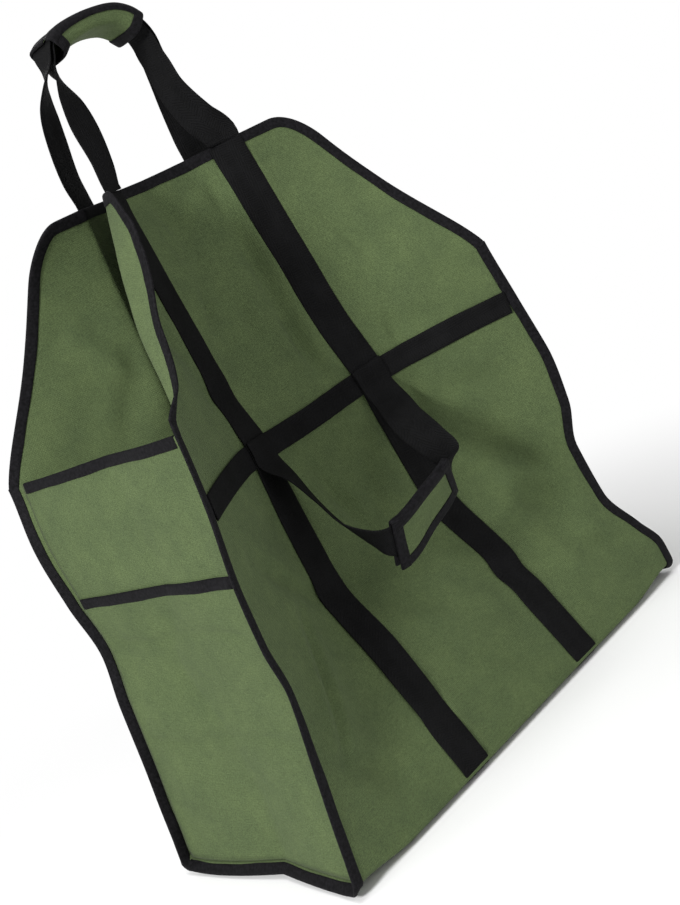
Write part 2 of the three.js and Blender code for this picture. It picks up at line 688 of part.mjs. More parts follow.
function seamPlace(hand, r, inset) {
  const column = hand < 0 ? 0 : columnCount - 1;
  const inner = sheet.grid[r][column];
  const further = sheet.grid[r][column - hand];
  const normal = sheetNormals[r * columnCount + column];
  return inner.clone()
    .addScaledVector(further.clone().sub(inner).normalize(), inset)
    .addScaledVector(normal, -endStandOff);
}

// A place on a corner seam at height z, between the sheet's rows
function seamAt(hand, side, z, inset) {
  const indices = side < 0 ? span(wallRows - 1, frontShoulder) : span(rowCount - wallRows, backShoulder);
  const places = indices.map((r) => seamPlace(hand, r, inset));
  let i = 1;
  while (i < places.length - 1 && z > places[i].z) i += 1;
  return places[i - 1].clone().lerp(places[i], (z - places[i - 1].z) / (places[i].z - places[i - 1].z));
}

// Heights of the rows of an end wall or pocket, with a strip for the tape below each open edge
function endHeights(top) {
  const mouths = [pocketHeight - edgeStrip, pocketHeight, shoulderHeight - edgeStrip, shoulderHeight];
  const isClear = (z) => mouths.every((mouth) => Math.abs(z - mouth) > edgeStrip * mouthRoom);
  const isDouble = (z) => z === crossRows[1] || z === crossRows[2];
  const plain = sheet.heights.filter((z) => isClear(z) && !isDouble(z));
  return [...plain, ...mouths].filter((z) => z <= top).sort((a, b) => a - b);
}

function endGrid(hand, top, inset) {
  const spots = [-1, ...sheet.marks.filter(({ zone }) => zone === 'base').map(({ share }) => share), 1];
  const grid = [span(wallRows, wallRows + spots.length - 1).map((r) => seamPlace(hand, r, inset))];
  for (const z of endHeights(top)) {
    const lift = z === foldLevel ? endLift(halfLength) : 0;
    const front = seamAt(hand, -1, z + lift, inset);
    const back = seamAt(hand, 1, z + lift, inset);
    const at = lookUp(endCreases, 'rise', z / rimHeight, hand < 0 ? 'leftAt' : 'rightAt');
    const deep = lookUp(endCreases, 'rise', z / rimHeight, hand < 0 ? 'leftIn' : 'rightIn') * halfDepth;
    grid.push(spots.map((share, k) => {
      const place = front.clone().lerp(back, (share + 1) / 2);
      const near = clamp(1 - Math.abs(share - at) / creaseWidth, 0, 1);
      const isSeam = k === 0 || k === spots.length - 1;
      if (!isSeam) place.x -= hand * deep * near ** creasePower;
      return place;
    }));
  }
  return grid;
}

for (const [hand, side] of [[-1, 'left'], [1, 'right']]) {
  const wall = endGrid(hand, shoulderHeight, endInset);
  addPiece(`end_panel_${side}`, outward(wallSolid(gridSurface(wall), clothThick)), panelGreen);
  const topPairs = wall[wall.length - 1].map((edge, k) => ({ edge, inner: wall[wall.length - 2][k] }));
  addEdgeTape(`end_top_binding_${side}`, topPairs, tapeThick * 3);
  const pocket = endGrid(hand, pocketHeight, pocketInset);
  addPiece(`end_pocket_${side}`, outward(wallSolid(gridSurface(pocket), clothThick)), panelGreen);
  const mouthPairs = pocket[pocket.length - 1].map((edge, k) => ({ edge, inner: pocket[pocket.length - 2][k] }));
  addEdgeTape(`pocket_top_binding_${side}`, mouthPairs, tapeThick * 3);
}

// Webbing on the sheet: the cross straps lie on the cloth, and the long straps pass over them
const webOffset = clothThick / 2 + seamGap + webThick / 2;

function offSheet(r, c, distance) {
  return sheet.grid[r][c].clone().addScaledVector(sheetNormals[r * columnCount + c], distance);
}

function gridRow(side, height) {
  const row = sheet.heights.indexOf(height);
  return side < 0 ? wallRows - 1 - row : rowCount - wallRows + row;
}

for (const [side, name] of [[-1, 'front'], [1, 'back']]) {
  const rows = [crossRows[1], crossRows[2]].map((z) => gridRow(side, z)).sort((a, b) => a - b);
  const grid = rows.map((r) => {
    const places = span(0, columnCount - 1).map((c) => offSheet(r, c, webOffset));
    const last = places.length - 1;
    const trim = (from, to) => from.clone().addScaledVector(to.clone().sub(from).normalize(), seamGap * 2);
    places[0] = trim(places[0], places[1]);
    places[last] = trim(places[last], places[last - 1]);
    return places;
  });
  addPiece(`cross_strap_${name}`, outward(wallSolid(gridSurface(grid), webThick)), webBlack, 0.8);
}

const strapColumns = { left: halfCount, right: columnCount - halfCount - 3 };
const strapTops = {};
for (const [name, first] of Object.entries(strapColumns)) {
  const columns = [first, first + 1, first + 2];
  const crossing = [-1, 1].flatMap((side) => [crossRows[1], crossRows[2]].map((z) => gridRow(side, z)));
  const overTape = tapeStack + 4 * seamGap + webThick / 2;
  const rimRow = (side) => columns.map((c) => {
    const away = sheetNormals[(side < 0 ? 0 : rowCount - 1) * columnCount + c].clone().setZ(0).normalize();
    return rimEdge(side, c).addScaledVector(away, overTape);
  });
  const raised = (row) => row.map((place) => place.clone().setZ(rimHeight + tapeThick + 2 * seamGap));
  const grid = [raised(rimRow(-1)), rimRow(-1)];
  for (let r = 0; r < rowCount; r += 1) {
    const isRim = r === 0 || r === rowCount - 1;
    const distance = isRim ? overTape : webOffset + (crossing.includes(r) ? layer : 0);
    grid.push(columns.map((c) => offSheet(r, c, distance)));
  }
  grid.push(rimRow(1), raised(rimRow(1)));
  addPiece(`strap_${name}`, outward(wallSolid(gridSurface(grid), webThick)), webBlack, 0.8);
  strapTops[name] = { front: grid[0][1], back: grid[grid.length - 1][1] };
}

// A length of webbing through stations that hold its middle and the way its width points
function ribbonGrid(stations) {
  return stations.map(({ at, across }, i) => {
    const before = stations[Math.max(0, i - 1)].at;
    const after = stations[Math.min(stations.length - 1, i + 1)].at;
    const along = after.clone().sub(before).normalize();
    const level = across.clone().addScaledVector(along, -across.dot(along)).normalize();
    return [-0.5, 0.5].map((share) => at.clone().addScaledVector(level, share * webWidth));
  });
}

// The top loops from the left strap over the grip to the right strap. x is a share of half the straps'
// span, y of the strap's distance from the middle of the bag, up of the loop's rise. twist is in
// degrees: at 0 the webbing's width lies along the bag, at 90 across it.
const loopLeft = {
  front: [
    { x: -1.000, y: 1.00, up: 0.00, twist: 31 },
    { x: -1.000, y: 1.00, up: 0.06, twist: 31 },
    { x: -0.90, y: 0.80, up: 0.20, twist: 24 },
    { x: -0.80, y: 0.48, up: 0.42, twist: 14 },
    { x: -0.75, y: 0.32, up: 0.58, twist: 24 },
    { x: -0.72, y: 0.16, up: 0.70, twist: 46 },
    { x: -0.73, y: 0.00, up: 0.82, twist: 74 },
  ],
  back: [
    { x: -1.00, y: 1.00, up: 0.00, twist: 31 },
    { x: -1.00, y: 1.00, up: 0.06, twist: 31 },
    { x: -1.05, y: 0.80, up: 0.20, twist: 28 },
    { x: -1.04, y: 0.48, up: 0.42, twist: 26 },
    { x: -0.98, y: 0.32, up: 0.58, twist: 32 },
    { x: -0.88, y: 0.16, up: 0.70, twist: 50 },
    { x: -0.73, y: 0.00, up: 0.82, twist: 74 },
  ],
};
const loopRight = {
  front: [
    { x: 0.80, y: 0.00, up: 0.79, twist: 92 },
    { x: 0.78, y: 0.16, up: 0.69, twist: 94 },
    { x: 0.77, y: 0.32, up: 0.58, twist: 97 },
    { x: 0.75, y: 0.50, up: 0.42, twist: 104 },
    { x: 0.85, y: 0.80, up: 0.20, twist: 126 },
    { x: 1.00, y: 1.00, up: 0.06, twist: 149 },
    { x: 1.00, y: 1.00, up: 0.00, twist: 149 },
  ],
  back: [
    { x: 0.80, y: 0.00, up: 0.79, twist: 92 },
    { x: 0.83, y: 0.16, up: 0.69, twist: 94 },
    { x: 0.85, y: 0.32, up: 0.58, twist: 97 },
    { x: 0.88, y: 0.50, up: 0.42, twist: 106 },
    { x: 0.95, y: 0.80, up: 0.20, twist: 126 },
    { x: 1.00, y: 1.00, up: 0.06, twist: 149 },
    { x: 1.00, y: 1.00, up: 0.00, twist: 149 },
  ],
};
// height is a share of the wrap's height. The second and the last but one rows end the taped strips.
const loopGrip = [
  { x: -0.68, y: 0, up: 0.925, twist: 90, height: 0.95 },
  { x: -0.54, y: 0, up: 0.962, twist: 90, height: 0.90 },
  { x: -0.25, y: 0, up: 0.990, twist: 90, height: 0.80 },
  { x: 0.10, y: 0, up: 1.000, twist: 90, height: 0.75 },
  { x: 0.40, y: 0, up: 0.985, twist: 90, height: 0.80 },
  { x: 0.60, y: 0, up: 0.940, twist: 90, height: 0.90 },
  { x: 0.73, y: 0, up: 0.880, twist: 90, height: 0.95 },
];

function crossVector(a, b) {
  return new THREE.Vector3().crossVectors(a, b).normalize();
}

// Adds to each station the way its webbing faces
function withFacing(stations) {
  return stations.map((station, i) => {
    const before = stations[Math.max(0, i - 1)].at;
    const after = stations[Math.min(stations.length - 1, i + 1)].at;
    const along = after.clone().sub(before).normalize();
    const across = station.across.clone().addScaledVector(along, -station.across.dot(along)).normalize();
    return { ...station, across, away: crossVector(along, across) };
  });
}

function loopRow({ x, y, up, twist, height }, name) {
  const start = strapTops[x < 0 ? 'left' : 'right'][name];
  const turn = THREE.MathUtils.degToRad(twist);
  const middle = strapCentre(rimHeight);
  const reach = middle + y * (Math.abs(start.x) - middle);
  const at = new THREE.Vector3(x * reach, y * start.y, start.z + seamGap + up * handleRise);
  return { at, across: new THREE.Vector3(Math.cos(turn), Math.sin(turn), 0), twist, height };
}

function loopLine(name) {
  const rows = [...loopLeft[name], ...loopGrip, ...loopRight[name]];
  return withFacing(rows.map((row) => loopRow(row, name)));
}

// The front web lies below the back one in the grip
function loopStations(side, name) {
  return loopLine(name).map(({ at, across, away, twist }) => {
    const share = Math.sin(THREE.MathUtils.degToRad(twist)) ** 2;
    return { at: at.clone().addScaledVector(away, side * share * loopSpacing / 2), across };
  });
}

for (const [side, name] of [[-1, 'front'], [1, 'back']]) {
  const grid = ribbonGrid(loopStations(side, name));
  addPiece(`top_handle_${name}`, outward(wallSolid(gridSurface(grid), webThick)), webBlack, 0.8);
}

// A canvas wrap: a section carried along stations, with a flat tape along one of its edges
function addWrap(name, stations, section, tape) {
  const carry = (places) => stations.map((station) => places(station).map(([a, b]) => (
    station.at.clone().addScaledVector(station.across, a).addScaledVector(station.away, b))));
  addPiece(name, outward(wallSolid(gridSurface(carry(section)), clothThick)), panelGreen);
  const strip = outward(wallSolid(gridSurface(carry(tape)), tapeThick));
  addPiece(`${name}_binding`, strip, tapeBlack);
}

// The top wrap's section, from the tape at its upper front round the back and below to the front.
// across is a share of half its width, up of its height.
const topWrap = [
  { across: -0.48, up: 1.00 },
  { across: 0.00, up: 1.02 },
  { across: 0.84, up: 1.00 },
  { across: 1.00, up: 0.80 },
  { across: 1.00, up: 0.28 },
  { across: 0.78, up: 0.02 },
  { across: 0.00, up: 0.00 },
  { across: -0.78, up: 0.02 },
  { across: -1.00, up: 0.28 },
  { across: -1.00, up: 0.80 },
  { across: -0.86, up: 1.00 },
  { across: -0.64, up: 1.00 },
];
const wrapClearance = 1.2;    // space between a wrap and the webbing inside it

function topWrapLevel(share, height) {
  const top = (loopSpacing + webThick + clothThick) / 2 + wrapClearance;
  return top - (1 - share) * topGripHeight * height;
}

function topSection({ height }) {
  return topWrap.map(({ across, up }) => [across * topGripWidth / 2, topWrapLevel(up, height)]);
}

const topTapeReach = { inner: 0.38, outer: 0.86, tilt: 0.1 };   // shares of half the width, and mm

function topTape({ height }) {
  const { inner, outer, tilt } = topTapeReach;
  const level = topWrapLevel(1, height) + (clothThick + tapeThick) / 2 + tapeGap;
  return [[-inner * topGripWidth / 2, level + tilt], [-outer * topGripWidth / 2, level]];
}

const topGripStations = loopLine('front').filter(({ height }) => height);
addWrap('top_grip', topGripStations, topSection, topTape);

// Side handles. x is a share of half the span between the crossings, out of how far the grip hangs
// out and down of its drop. The across columns point along the webbing's width. hang is the share of
// the wrap's folded height.
const sideRouteIn = [
  { x: 0.92, out: 0.19, down: 0.29, ax: 0.92, ay: -0.38, az: 0.05 },
  { x: 0.71, out: 0.50, down: 0.46, ax: 0.68, ay: -0.73, az: 0.10 },
  { x: 0.62, out: 0.80, down: 0.68, ax: 0.45, ay: -0.75, az: 0.45 },
  { x: 0.62, out: 0.93, down: 0.85, ax: 0.25, ay: -0.60, az: 0.75 },
];
const sideGripRoute = [
  { x: 0.46, out: 0.96, down: 0.95, ax: 0.00, ay: -0.47, az: 0.88, hang: 0.85 },
  { x: -0.08, out: 0.97, down: 1.04, ax: 0.00, ay: -0.45, az: 0.89, hang: 0.95 },
  { x: -0.70, out: 0.95, down: 1.12, ax: 0.00, ay: -0.45, az: 0.89, hang: 1.00 },
];
const sideRouteOut = [
  { x: -0.85, out: 0.82, down: 1.04, ax: -0.35, ay: -0.70, az: 0.62 },
  { x: -0.89, out: 0.54, down: 0.87, ax: -0.58, ay: -0.78, az: 0.24 },
  { x: -0.87, out: 0.27, down: 0.60, ax: -0.75, ay: -0.62, az: 0.20 },
  { x: -0.92, out: 0.14, down: 0.34, ax: -0.96, ay: -0.28, az: 0.05 },
];

// Where a side handle is sewn over a crossing, and the way its width points there
function crossingPlace(side, hand, height) {
  const column = (hand < 0 ? strapColumns.left : strapColumns.right) + 1;
  const row = gridRow(side, height);
  const at = offSheet(row, column, webOffset + 2 * layer + handleStand);
  const across = offSheet(row, column + 1, webOffset).sub(offSheet(row, column - 1, webOffset)).normalize();
  return { at, across: across.multiplyScalar(-side) };
}

function sideHandle(side) {
  const hand = -side;
  const firstTop = crossingPlace(side, hand, crossRows[2]);
  const firstBottom = crossingPlace(side, hand, crossRows[1]);
  const lastTop = crossingPlace(side, -hand, crossRows[2]);
  const lastBottom = crossingPlace(side, -hand, crossRows[1]);
  const spanX = (Math.abs(firstBottom.at.x) + Math.abs(lastBottom.at.x)) / 2;
  const nearY = (Math.abs(firstBottom.at.y) + Math.abs(lastBottom.at.y)) / 2;
  const place = ({ x, out, down, ax, ay, az, hang }) => ({
    hang,
    at: new THREE.Vector3(hand * x * spanX, side * (nearY + out * sideHandleOut), crossHeight - down * sideHandleDrop),
    across: new THREE.Vector3(hand * ax, -side * ay, az),
  });
  const grip = sideGripRoute.map(place);
  const halfway = (from, to) => ({
    hang: (from.hang + to.hang) / 2,
    at: from.at.clone().lerp(to.at, 0.5),
    across: from.across.clone().lerp(to.across, 0.5),
  });
  const [right, middle, left] = grip;
  const gripPart = [right, halfway(right, middle), middle, halfway(middle, left), left];
  const stations = withFacing([
    firstTop,
    firstBottom,
    ...sideRouteIn.map(place),
    ...gripPart,
    ...sideRouteOut.map(place),
    { at: lastBottom.at, across: lastBottom.across.clone().negate() },
    { at: lastTop.at, across: lastTop.across.clone().negate() },
  ]);
  const gripStart = 2 + sideRouteIn.length;
  return { stations, grip: stations.slice(gripStart, gripStart + gripPart.length) };
}

// The side wrap's section: folded over the webbing's upper edge and open below. down is a share of
// its hang, out is how far it stands off its nearest place, in mm.
const sideWrap = [
  { down: 1.00, out: 2.6 },
  { down: 0.80, out: 2.2 },
  { down: 0.58, out: 1.2 },
  { down: 0.30, out: 0.2 },
  { down: 0.05, out: 0.0 },
  { down: 0.00, out: -1.4 },
];

function sidePlaces(rows, extra, hang) {
  const top = (webWidth + clothThick) / 2 + wrapClearance;
  const near = -(webThick + clothThick) / 2 - wrapClearance;
  return rows.map(({ down, out }) => [top - down * sideGripHang * hang, near - out - extra]);
}

function sideSection({ hang }) {
  const flap = sidePlaces(sideWrap, 0, hang);
  return [...flap, ...flap.map(([a, b]) => [a, -b]).reverse()];
}

function sideTape({ hang }) {
  return sidePlaces(sideWrap.slice(0, 2), (clothThick + tapeThick) / 2 + tapeGap, hang);
}

for (const [side, name] of [[-1, 'front'], [1, 'back']]) {
  const { stations, grip } = sideHandle(side);
  const grid = ribbonGrid(stations);
  addPiece(`side_handle_${name}`, outward(wallSolid(gridSurface(grid), webThick)), webBlack, 0.8);
  addWrap(`side_grip_${name}`, grip, sideSection, sideTape);
}

// The origin is below the middle of the whole bag
const box = new THREE.Box3().setFromObject(group, true);
const centre = box.getCenter(new THREE.Vector3());
group.position.set(-centre.x, -centre.y, -box.min.z);

export default group;
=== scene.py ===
# Canvas log carrier: cloth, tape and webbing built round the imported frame.
# Lengths are in mm in the tables and in metres in the meshes.
import math
import random

import bpy
import numpy as np
from mathutils import Matrix, Vector


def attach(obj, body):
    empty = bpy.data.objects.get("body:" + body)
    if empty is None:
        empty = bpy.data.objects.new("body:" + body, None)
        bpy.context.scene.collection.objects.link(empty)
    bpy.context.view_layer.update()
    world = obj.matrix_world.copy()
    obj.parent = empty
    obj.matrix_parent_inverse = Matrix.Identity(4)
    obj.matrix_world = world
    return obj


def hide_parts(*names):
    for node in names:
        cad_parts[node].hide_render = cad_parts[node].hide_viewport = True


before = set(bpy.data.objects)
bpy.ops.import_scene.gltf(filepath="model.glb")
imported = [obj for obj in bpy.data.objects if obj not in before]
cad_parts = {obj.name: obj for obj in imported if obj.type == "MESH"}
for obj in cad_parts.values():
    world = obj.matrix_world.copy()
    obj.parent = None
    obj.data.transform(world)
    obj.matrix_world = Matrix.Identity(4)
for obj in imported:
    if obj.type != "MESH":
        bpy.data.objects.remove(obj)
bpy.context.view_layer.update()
random.seed(7)
mm = 0.001
print("frame loaded")

# Sizes shared by all pieces
bag = {
    "halfLength": 295.0,
    "halfDepth": 150.0,
    "rimHeight": 675.0,
    "shoulderHeight": 453.0,
    "rimLength": 400.0,
    "cornerRadius": 70.0,
    "foldRadius": 8.0,
    "baseLevel": 3.2,
    "edgeStrip": 11.3,
    "webWidth": 38.0,
    "webThick": 2.0,
    "clothThick": 1.3,
    "crossHeight": 382.0,
    "crossWidth": 26.0,
    "pocketHeight": 318.0,
    "finLift": 7.4,
    "strapBase": 103.0,
    "strapRim": 80.0,
    "shiftY": -13.97,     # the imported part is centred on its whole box
}

wallSections = {  # shares of half the depth, and reach of half the length
    "rise": [0.0, 0.214, 0.343, 0.565, 0.671, 0.840, 0.930, 1.0],
    "mid": [1.0, 0.630, 0.360, 0.335, 0.250, 0.198, 0.170, 0.148],
    "valley": [0.0, 0.020, 0.064, 0.145, 0.180, 0.216, 0.236, 0.250],
    "frontEdge": [1.0, 1.0, 1.010, 1.030, 1.035, 0.735, 0.575, 0.450],
    "backEdge": [1.0, 1.010, 1.030, 1.140, 1.260, 0.770, 0.450, 0.070],
    "reach": [1.0, 0.936, 0.894, 0.824, 0.790, 0.770, 0.758, 0.750],
}
seamKinks = {
    "rise": [0.0, 0.06, 0.11, 0.19, 0.29, 0.37, 0.47, 0.57, 0.671, 1.0],
    "frontLeft": [0.0, 0.005, 0.012, 0.026, 0.040, 0.008, -0.004, 0.006, 0.0, 0.0],
    "backLeft": [0.0, 0.003, 0.006, 0.014, 0.018, 0.034, -0.006, -0.028, 0.0, 0.0],
    "frontRight": [0.0, -0.010, 0.020, 0.075, 0.075, 0.030, -0.004, 0.0, 0.0, 0.0],
    "backRight": [0.0, 0.004, 0.010, 0.022, 0.035, 0.012, -0.004, -0.010, 0.0, 0.0],
    "yield": [0.0, 0.0, 0.060, 0.120, 0.100, 0.020, 0.0, 0.0, 0.0, 0.0],
}
wallDents = [  # wall, x, rise, wide, tall, deep, lean
    (-1, 0.140, 0.800, 0.050, 0.300, 0.036, -0.10),
    (-1, -0.060, 0.900, 0.070, 0.160, 0.026, -0.10),
    (-1, 0.000, 0.450, 0.240, 0.120, 0.050, 0.00),
    (-1, -0.550, 0.180, 0.200, 0.150, 0.050, 0.60),
    (-1, 0.700, 0.230, 0.180, 0.110, 0.060, 0.40),
    (-1, 0.600, 0.500, 0.220, 0.120, -0.035, 0.00),
    (-1, 0.020, 0.170, 0.260, 0.120, -0.035, 0.00),
    (1, -0.550, 0.600, 0.200, 0.160, 0.050, 0.30),
    (1, 0.450, 0.300, 0.240, 0.140, 0.045, -0.30),
    (1, 0.050, 0.750, 0.090, 0.220, 0.030, 0.10),
]
lapelTurns = {  # along the lapel's fold, and degrees turned outward
    "along": [0.0, 0.10, 0.20, 0.30, 0.40, 0.52, 0.65, 0.80, 1.0, 1.2],
    "turn": [0, 43, 53, 56, 59, 60, 56, 49, 46, 46],
}
endCreases = {
    "rise": [0.0, 0.11, 0.21, 0.343, 0.486, 0.671],
    "leftAt": [-0.10, -0.15, -0.10, 0.22, -0.18, -0.12],
    "leftIn": [0.090, 0.060, 0.035, 0.080, 0.040, 0.030],
    "rightAt": [0.12, 0.12, 0.05, -0.15, 0.10, 0.10],
    "rightIn": [0.050, 0.035, 0.040, 0.070, 0.040, 0.030],
    "width": 0.85,        # half width of the crease, as a share of half the depth
}

hands = ((-1, "left"), (1, "right"))
walls = ((-1, "front"), (1, "back"))
wrapLook = {"clearance": 1.2, "strip": 0.8}    # room inside a wrap, and its flat tape's thickness

halfLength = bag["halfLength"]
halfDepth = bag["halfDepth"]
rimHeight = bag["rimHeight"]
shoulder = bag["shoulderHeight"]
edgeStrip = bag["edgeStrip"]
webWidth = bag["webWidth"]
foldLevel = bag["baseLevel"] + bag["foldRadius"]


def cubic(t, h, low, high, lowSlope, highSlope):
    # the cubic between two places, with its slope at each
    return ((2 * t ** 3 - 3 * t ** 2 + 1) * low + (t ** 3 - 2 * t ** 2 + t) * h * lowSlope
            + (3 * t ** 2 - 2 * t ** 3) * high + (t ** 3 - t ** 2) * h * highSlope)


def smoothRead(xs, ys, at):
    # soft reading of a table: a cubic through its rows that doesn't overshoot
    xs = np.asarray(xs, float)
    ys = np.asarray(ys, float)
    at = np.clip(np.asarray(at, float), xs[0], xs[-1])
    rise = np.diff(ys) / np.diff(xs)
    slope = np.zeros(len(xs))
    for i in range(1, len(xs) - 1):
        a, b = rise[i - 1], rise[i]
        slope[i] = 0 if a * b <= 0 else 2 * a * b / (a + b)
    slope[0], slope[-1] = rise[0], rise[-1]
    i = np.clip(np.searchsorted(xs, at, side="right") - 1, 0, len(xs) - 2)
    h = xs[i + 1] - xs[i]
    t = (at - xs[i]) / h
    return cubic(t, h, ys[i], ys[i + 1], slope[i], slope[i + 1])


def atRise(table, key, rise):
    return smoothRead(table["rise"], table[key], rise)


def strapCentre(z):
    return bag["strapBase"] + (bag["strapRim"] - bag["strapBase"]) * np.clip(z / rimHeight, 0, 1)


def valleyDepth(z):
    # the walls bow backward between the straps
    return halfDepth * atRise(wallSections, "valley", z / rimHeight)


def strapHalf(z):
    centre = strapCentre(z)
    slope = 2 * valleyDepth(z) * centre / (centre + webWidth / 2) ** 2
    return webWidth / 2 / np.hypot(1, slope)


def endLift(p):
    t = np.clip((np.abs(p) / halfLength - 0.7) / 0.25, 0, 1)
    return bag["finLift"] * t * t * (3 - 2 * t)


# Folds and creases of the cloth
# Each fold is a line on a wall: from (p, z) to (p, z), its width, its depth (plus goes inwards) in mm
folds = {
    "front": [
        (50, 656, 52, 586, 8, 4.5), (52, 586, 51, 500, 8, 5.0), (51, 500, 44, 412, 8, 4.0),
        (-40, 622, -26, 586, 4, 2.2), (-24, 556, -46, 502, 5, 2.8), (8, 520, 2, 470, 7, 2.0),
        (-20, 640, 10, 600, 14, 2.0),
        (-28, 330, -4, 235, 9, 3.0), (36, 300, 20, 250, 12, 2.0), (-60, 190, 30, 120, 13, 2.2),
        (-228, 313, -104, 214, 10, 3.2), (-164, 232, -242, 108, 8, 3.4), (-36, 170, 162, 98, 12, 3.0),
        (158, 447, 122, 309, 9, 2.8), (-250, 110, -180, 60, 12, 2.6),
        (170, 250, 235, 200, 10, 4.0), (150, 190, 238, 150, 13, 4.5), (175, 330, 235, 310, 12, 3.0),
        (130, 420, 215, 400, 14, 2.6), (150, 560, 190, 470, 12, 2.4), (-140, 470, -60, 430, 14, 2.2),
        (-150, 560, -120, 500, 12, 2.5), (190, 100, 262, 70, 11, 2.6), (-20, 90, 60, 40, 14, 1.6),
        (115, 320, 150, 260, 10, 2.2), (-75, 100, -110, 40, 10, 1.6),
    ],
    "back": [
        (-40, 630, -60, 500, 12, 4.5), (-60, 500, -35, 380, 12, 3.5), (30, 620, 10, 480, 12, 3.5),
        (-200, 400, -120, 300, 16, 4.0), (-180, 560, -110, 470, 14, 3.5), (-120, 520, -170, 430, 14, -3.0),
        (160, 540, 110, 440, 14, 3.0), (200, 330, 120, 250, 16, 3.5), (-60, 260, 20, 180, 14, 2.5),
        (-220, 220, -150, 140, 14, 3.0), (90, 140, 160, 80, 14, 2.5), (60, 400, 20, 330, 12, 2.5),
    ],
}
foldLook = {
    "boost": 1.9,                                  # scales the depth of all folds
    "ridge": 0.35, "ridgeAt": 1.9,                 # the cloth rises a little beside a fold
    "wave": 2.2,                                   # mm of soft waves over the whole wall
    "sideFade": 60, "footFade": 50, "foot": 12,    # mm over which folds fade out at the seams
    "rimFade": 40, "rimLeast": 0.1,
    "strapHold": 0.45, "crossHold": 0.6, "holdReach": 24,    # how much the webbing holds the cloth flat
}
# Level creases left by the bag's folding for its box: height, width, depth
boxCreases = {"front": [(445, 3.0, 0.9), (232, 3.0, 0.8), (153, 3.2, 0.8)],
              "back": [(450, 3.0, 0.9), (235, 3.0, 0.8), (150, 3.2, 0.7)]}


def foldDepth(side, p, z):
    # how far the folds push the cloth inwards at a place of the pattern
    name = "front" if side < 0 else "back"
    deep = np.zeros(np.broadcast(p, z).shape)
    for p0, z0, p1, z1, wide, depth in folds[name]:
        dp, dz = p1 - p0, z1 - z0
        size = dp * dp + dz * dz
        t = np.clip(((p - p0) * dp + (z - z0) * dz) / size, 0, 1)
        gap = np.hypot(p - p0 - t * dp, z - z0 - t * dz)
        taper = 0.25 + 0.75 * np.sin(np.pi * np.clip(t, 0.04, 0.96))
        ridge = foldLook["ridge"] * np.exp(-((gap - foldLook["ridgeAt"] * wide) / wide) ** 2)
        deep = deep + foldLook["boost"] * depth * taper * (np.exp(-(gap / wide) ** 2) - ridge)
    for level, wide, depth in boxCreases[name]:
        wave = 3 * np.sin(p / 47.0) + 2 * np.sin(p / 19.0 + 1)
        crease = np.exp(-np.abs((z - level + wave) / wide) ** 1.5)
        deep = deep + depth * crease * (0.6 + 0.4 * np.sin(p / 33.0))
    return deep


def ripple(a, b, seed):
    # low uneven waves of soft cloth, from a few sines with fixed phases
    wave = np.zeros(np.broadcast(a, b).shape)
    for k in range(6):
        angle = 0.7 + 1.9 * k + seed
        size = 34.0 + 17.0 * ((k * 3 + seed) % 5)
        place = (a * math.cos(angle) + b * math.sin(angle)) / size
        wave = wave + np.sin(place * 2 * math.pi / 2.4 + 1.7 * k + seed)
    return wave / 6


# The sheet as a surface
def flatWall(side, p, z):
    p = np.asarray(p, float)
    z = np.asarray(z, float)
    hand = np.where(p < 0, -1.0, 1.0)
    rise = z / rimHeight
    bend = strapCentre(z) + strapHalf(z)
    t = np.clip((np.abs(p) - bend) / (halfLength - bend), 0, 1)
    name = "front" if side < 0 else "back"
    mid = atRise(wallSections, "mid", rise)
    edge = atRise(wallSections, name + "Edge", rise)
    reach = atRise(wallSections, "reach", rise) * halfLength
    kink = np.where(hand < 0, atRise(seamKinks, name + "Left", rise), atRise(seamKinks, name + "Right", rise))
    kink = kink * halfLength * t * t
    giving = atRise(seamKinks, "yield", rise) * halfDepth * t * t
    giving = np.where((hand > 0) & (side < 0), giving, 0.0)
    slope = t * t / (t + 0.08) * 1.08
    level = (strapCentre(z) / bend) ** 2
    hollow = np.where(t > 0, (1 - level) * (1 - slope), (p / bend) ** 2 - level)
    depth = halfDepth * (mid + (edge - mid) * slope) - side * valleyDepth(z) * hollow - giving
    for wall, x, up, wide, tall, deep, lean in wallDents:
        if wall != side:
            continue
        across = (p / halfLength - x - lean * (rise - up)) / wide
        near = across ** 2 + ((rise - up) / tall) ** 2
        depth = depth - deep * halfDepth * np.where(near < 1, (1 - near) ** 2, 0)
    look = foldLook
    soft = np.clip((halfLength - np.abs(p)) / look["sideFade"], 0, 1)
    soft = soft * np.clip((z - look["foot"]) / look["footFade"], 0, 1)
    firm = 1 - look["strapHold"] * np.exp(-((np.abs(p) - strapCentre(z)) / look["holdReach"]) ** 2)
    firm = firm * (1 - look["crossHold"] * np.exp(-((z - bag["crossHeight"]) / look["holdReach"]) ** 2))
    rimCalm = np.clip((rimHeight - z) / look["rimFade"], look["rimLeast"], 1)
    depth = depth - foldDepth(side, p, z) * soft * firm * rimCalm
    depth = depth + look["wave"] * ripple(p, z, 2 + side) * soft * firm * rimCalm
    x = hand * (np.minimum(np.abs(p), bend) + (reach - bend) * t - kink)
    lift = endLift(p) * np.clip(1 - rise / 0.06, 0, 1)
    return np.stack([x, side * depth, z + lift], -1)


foldStart = np.array([-(halfLength - edgeStrip - 14.0), shoulder])
foldEnd = np.array([-(bag["strapRim"] + float(strapHalf(rimHeight)) + 5.0), rimHeight - edgeStrip])
foldSize = float(np.hypot(*(foldEnd - foldStart)))
foldDir = (foldEnd - foldStart) / foldSize
lapel = {"radius": 4.0, "curl": 0.10, "step": 5.0}    # the step is mm along the wall to take its slope


def unit(v):
    return v / np.maximum(np.linalg.norm(v, axis=-1, keepdims=True), 1e-9)


def squareTo(along, v):
    # the part of a direction that is square to a line, as a unit
    return unit(v - along * (v * along).sum(-1, keepdims=True))


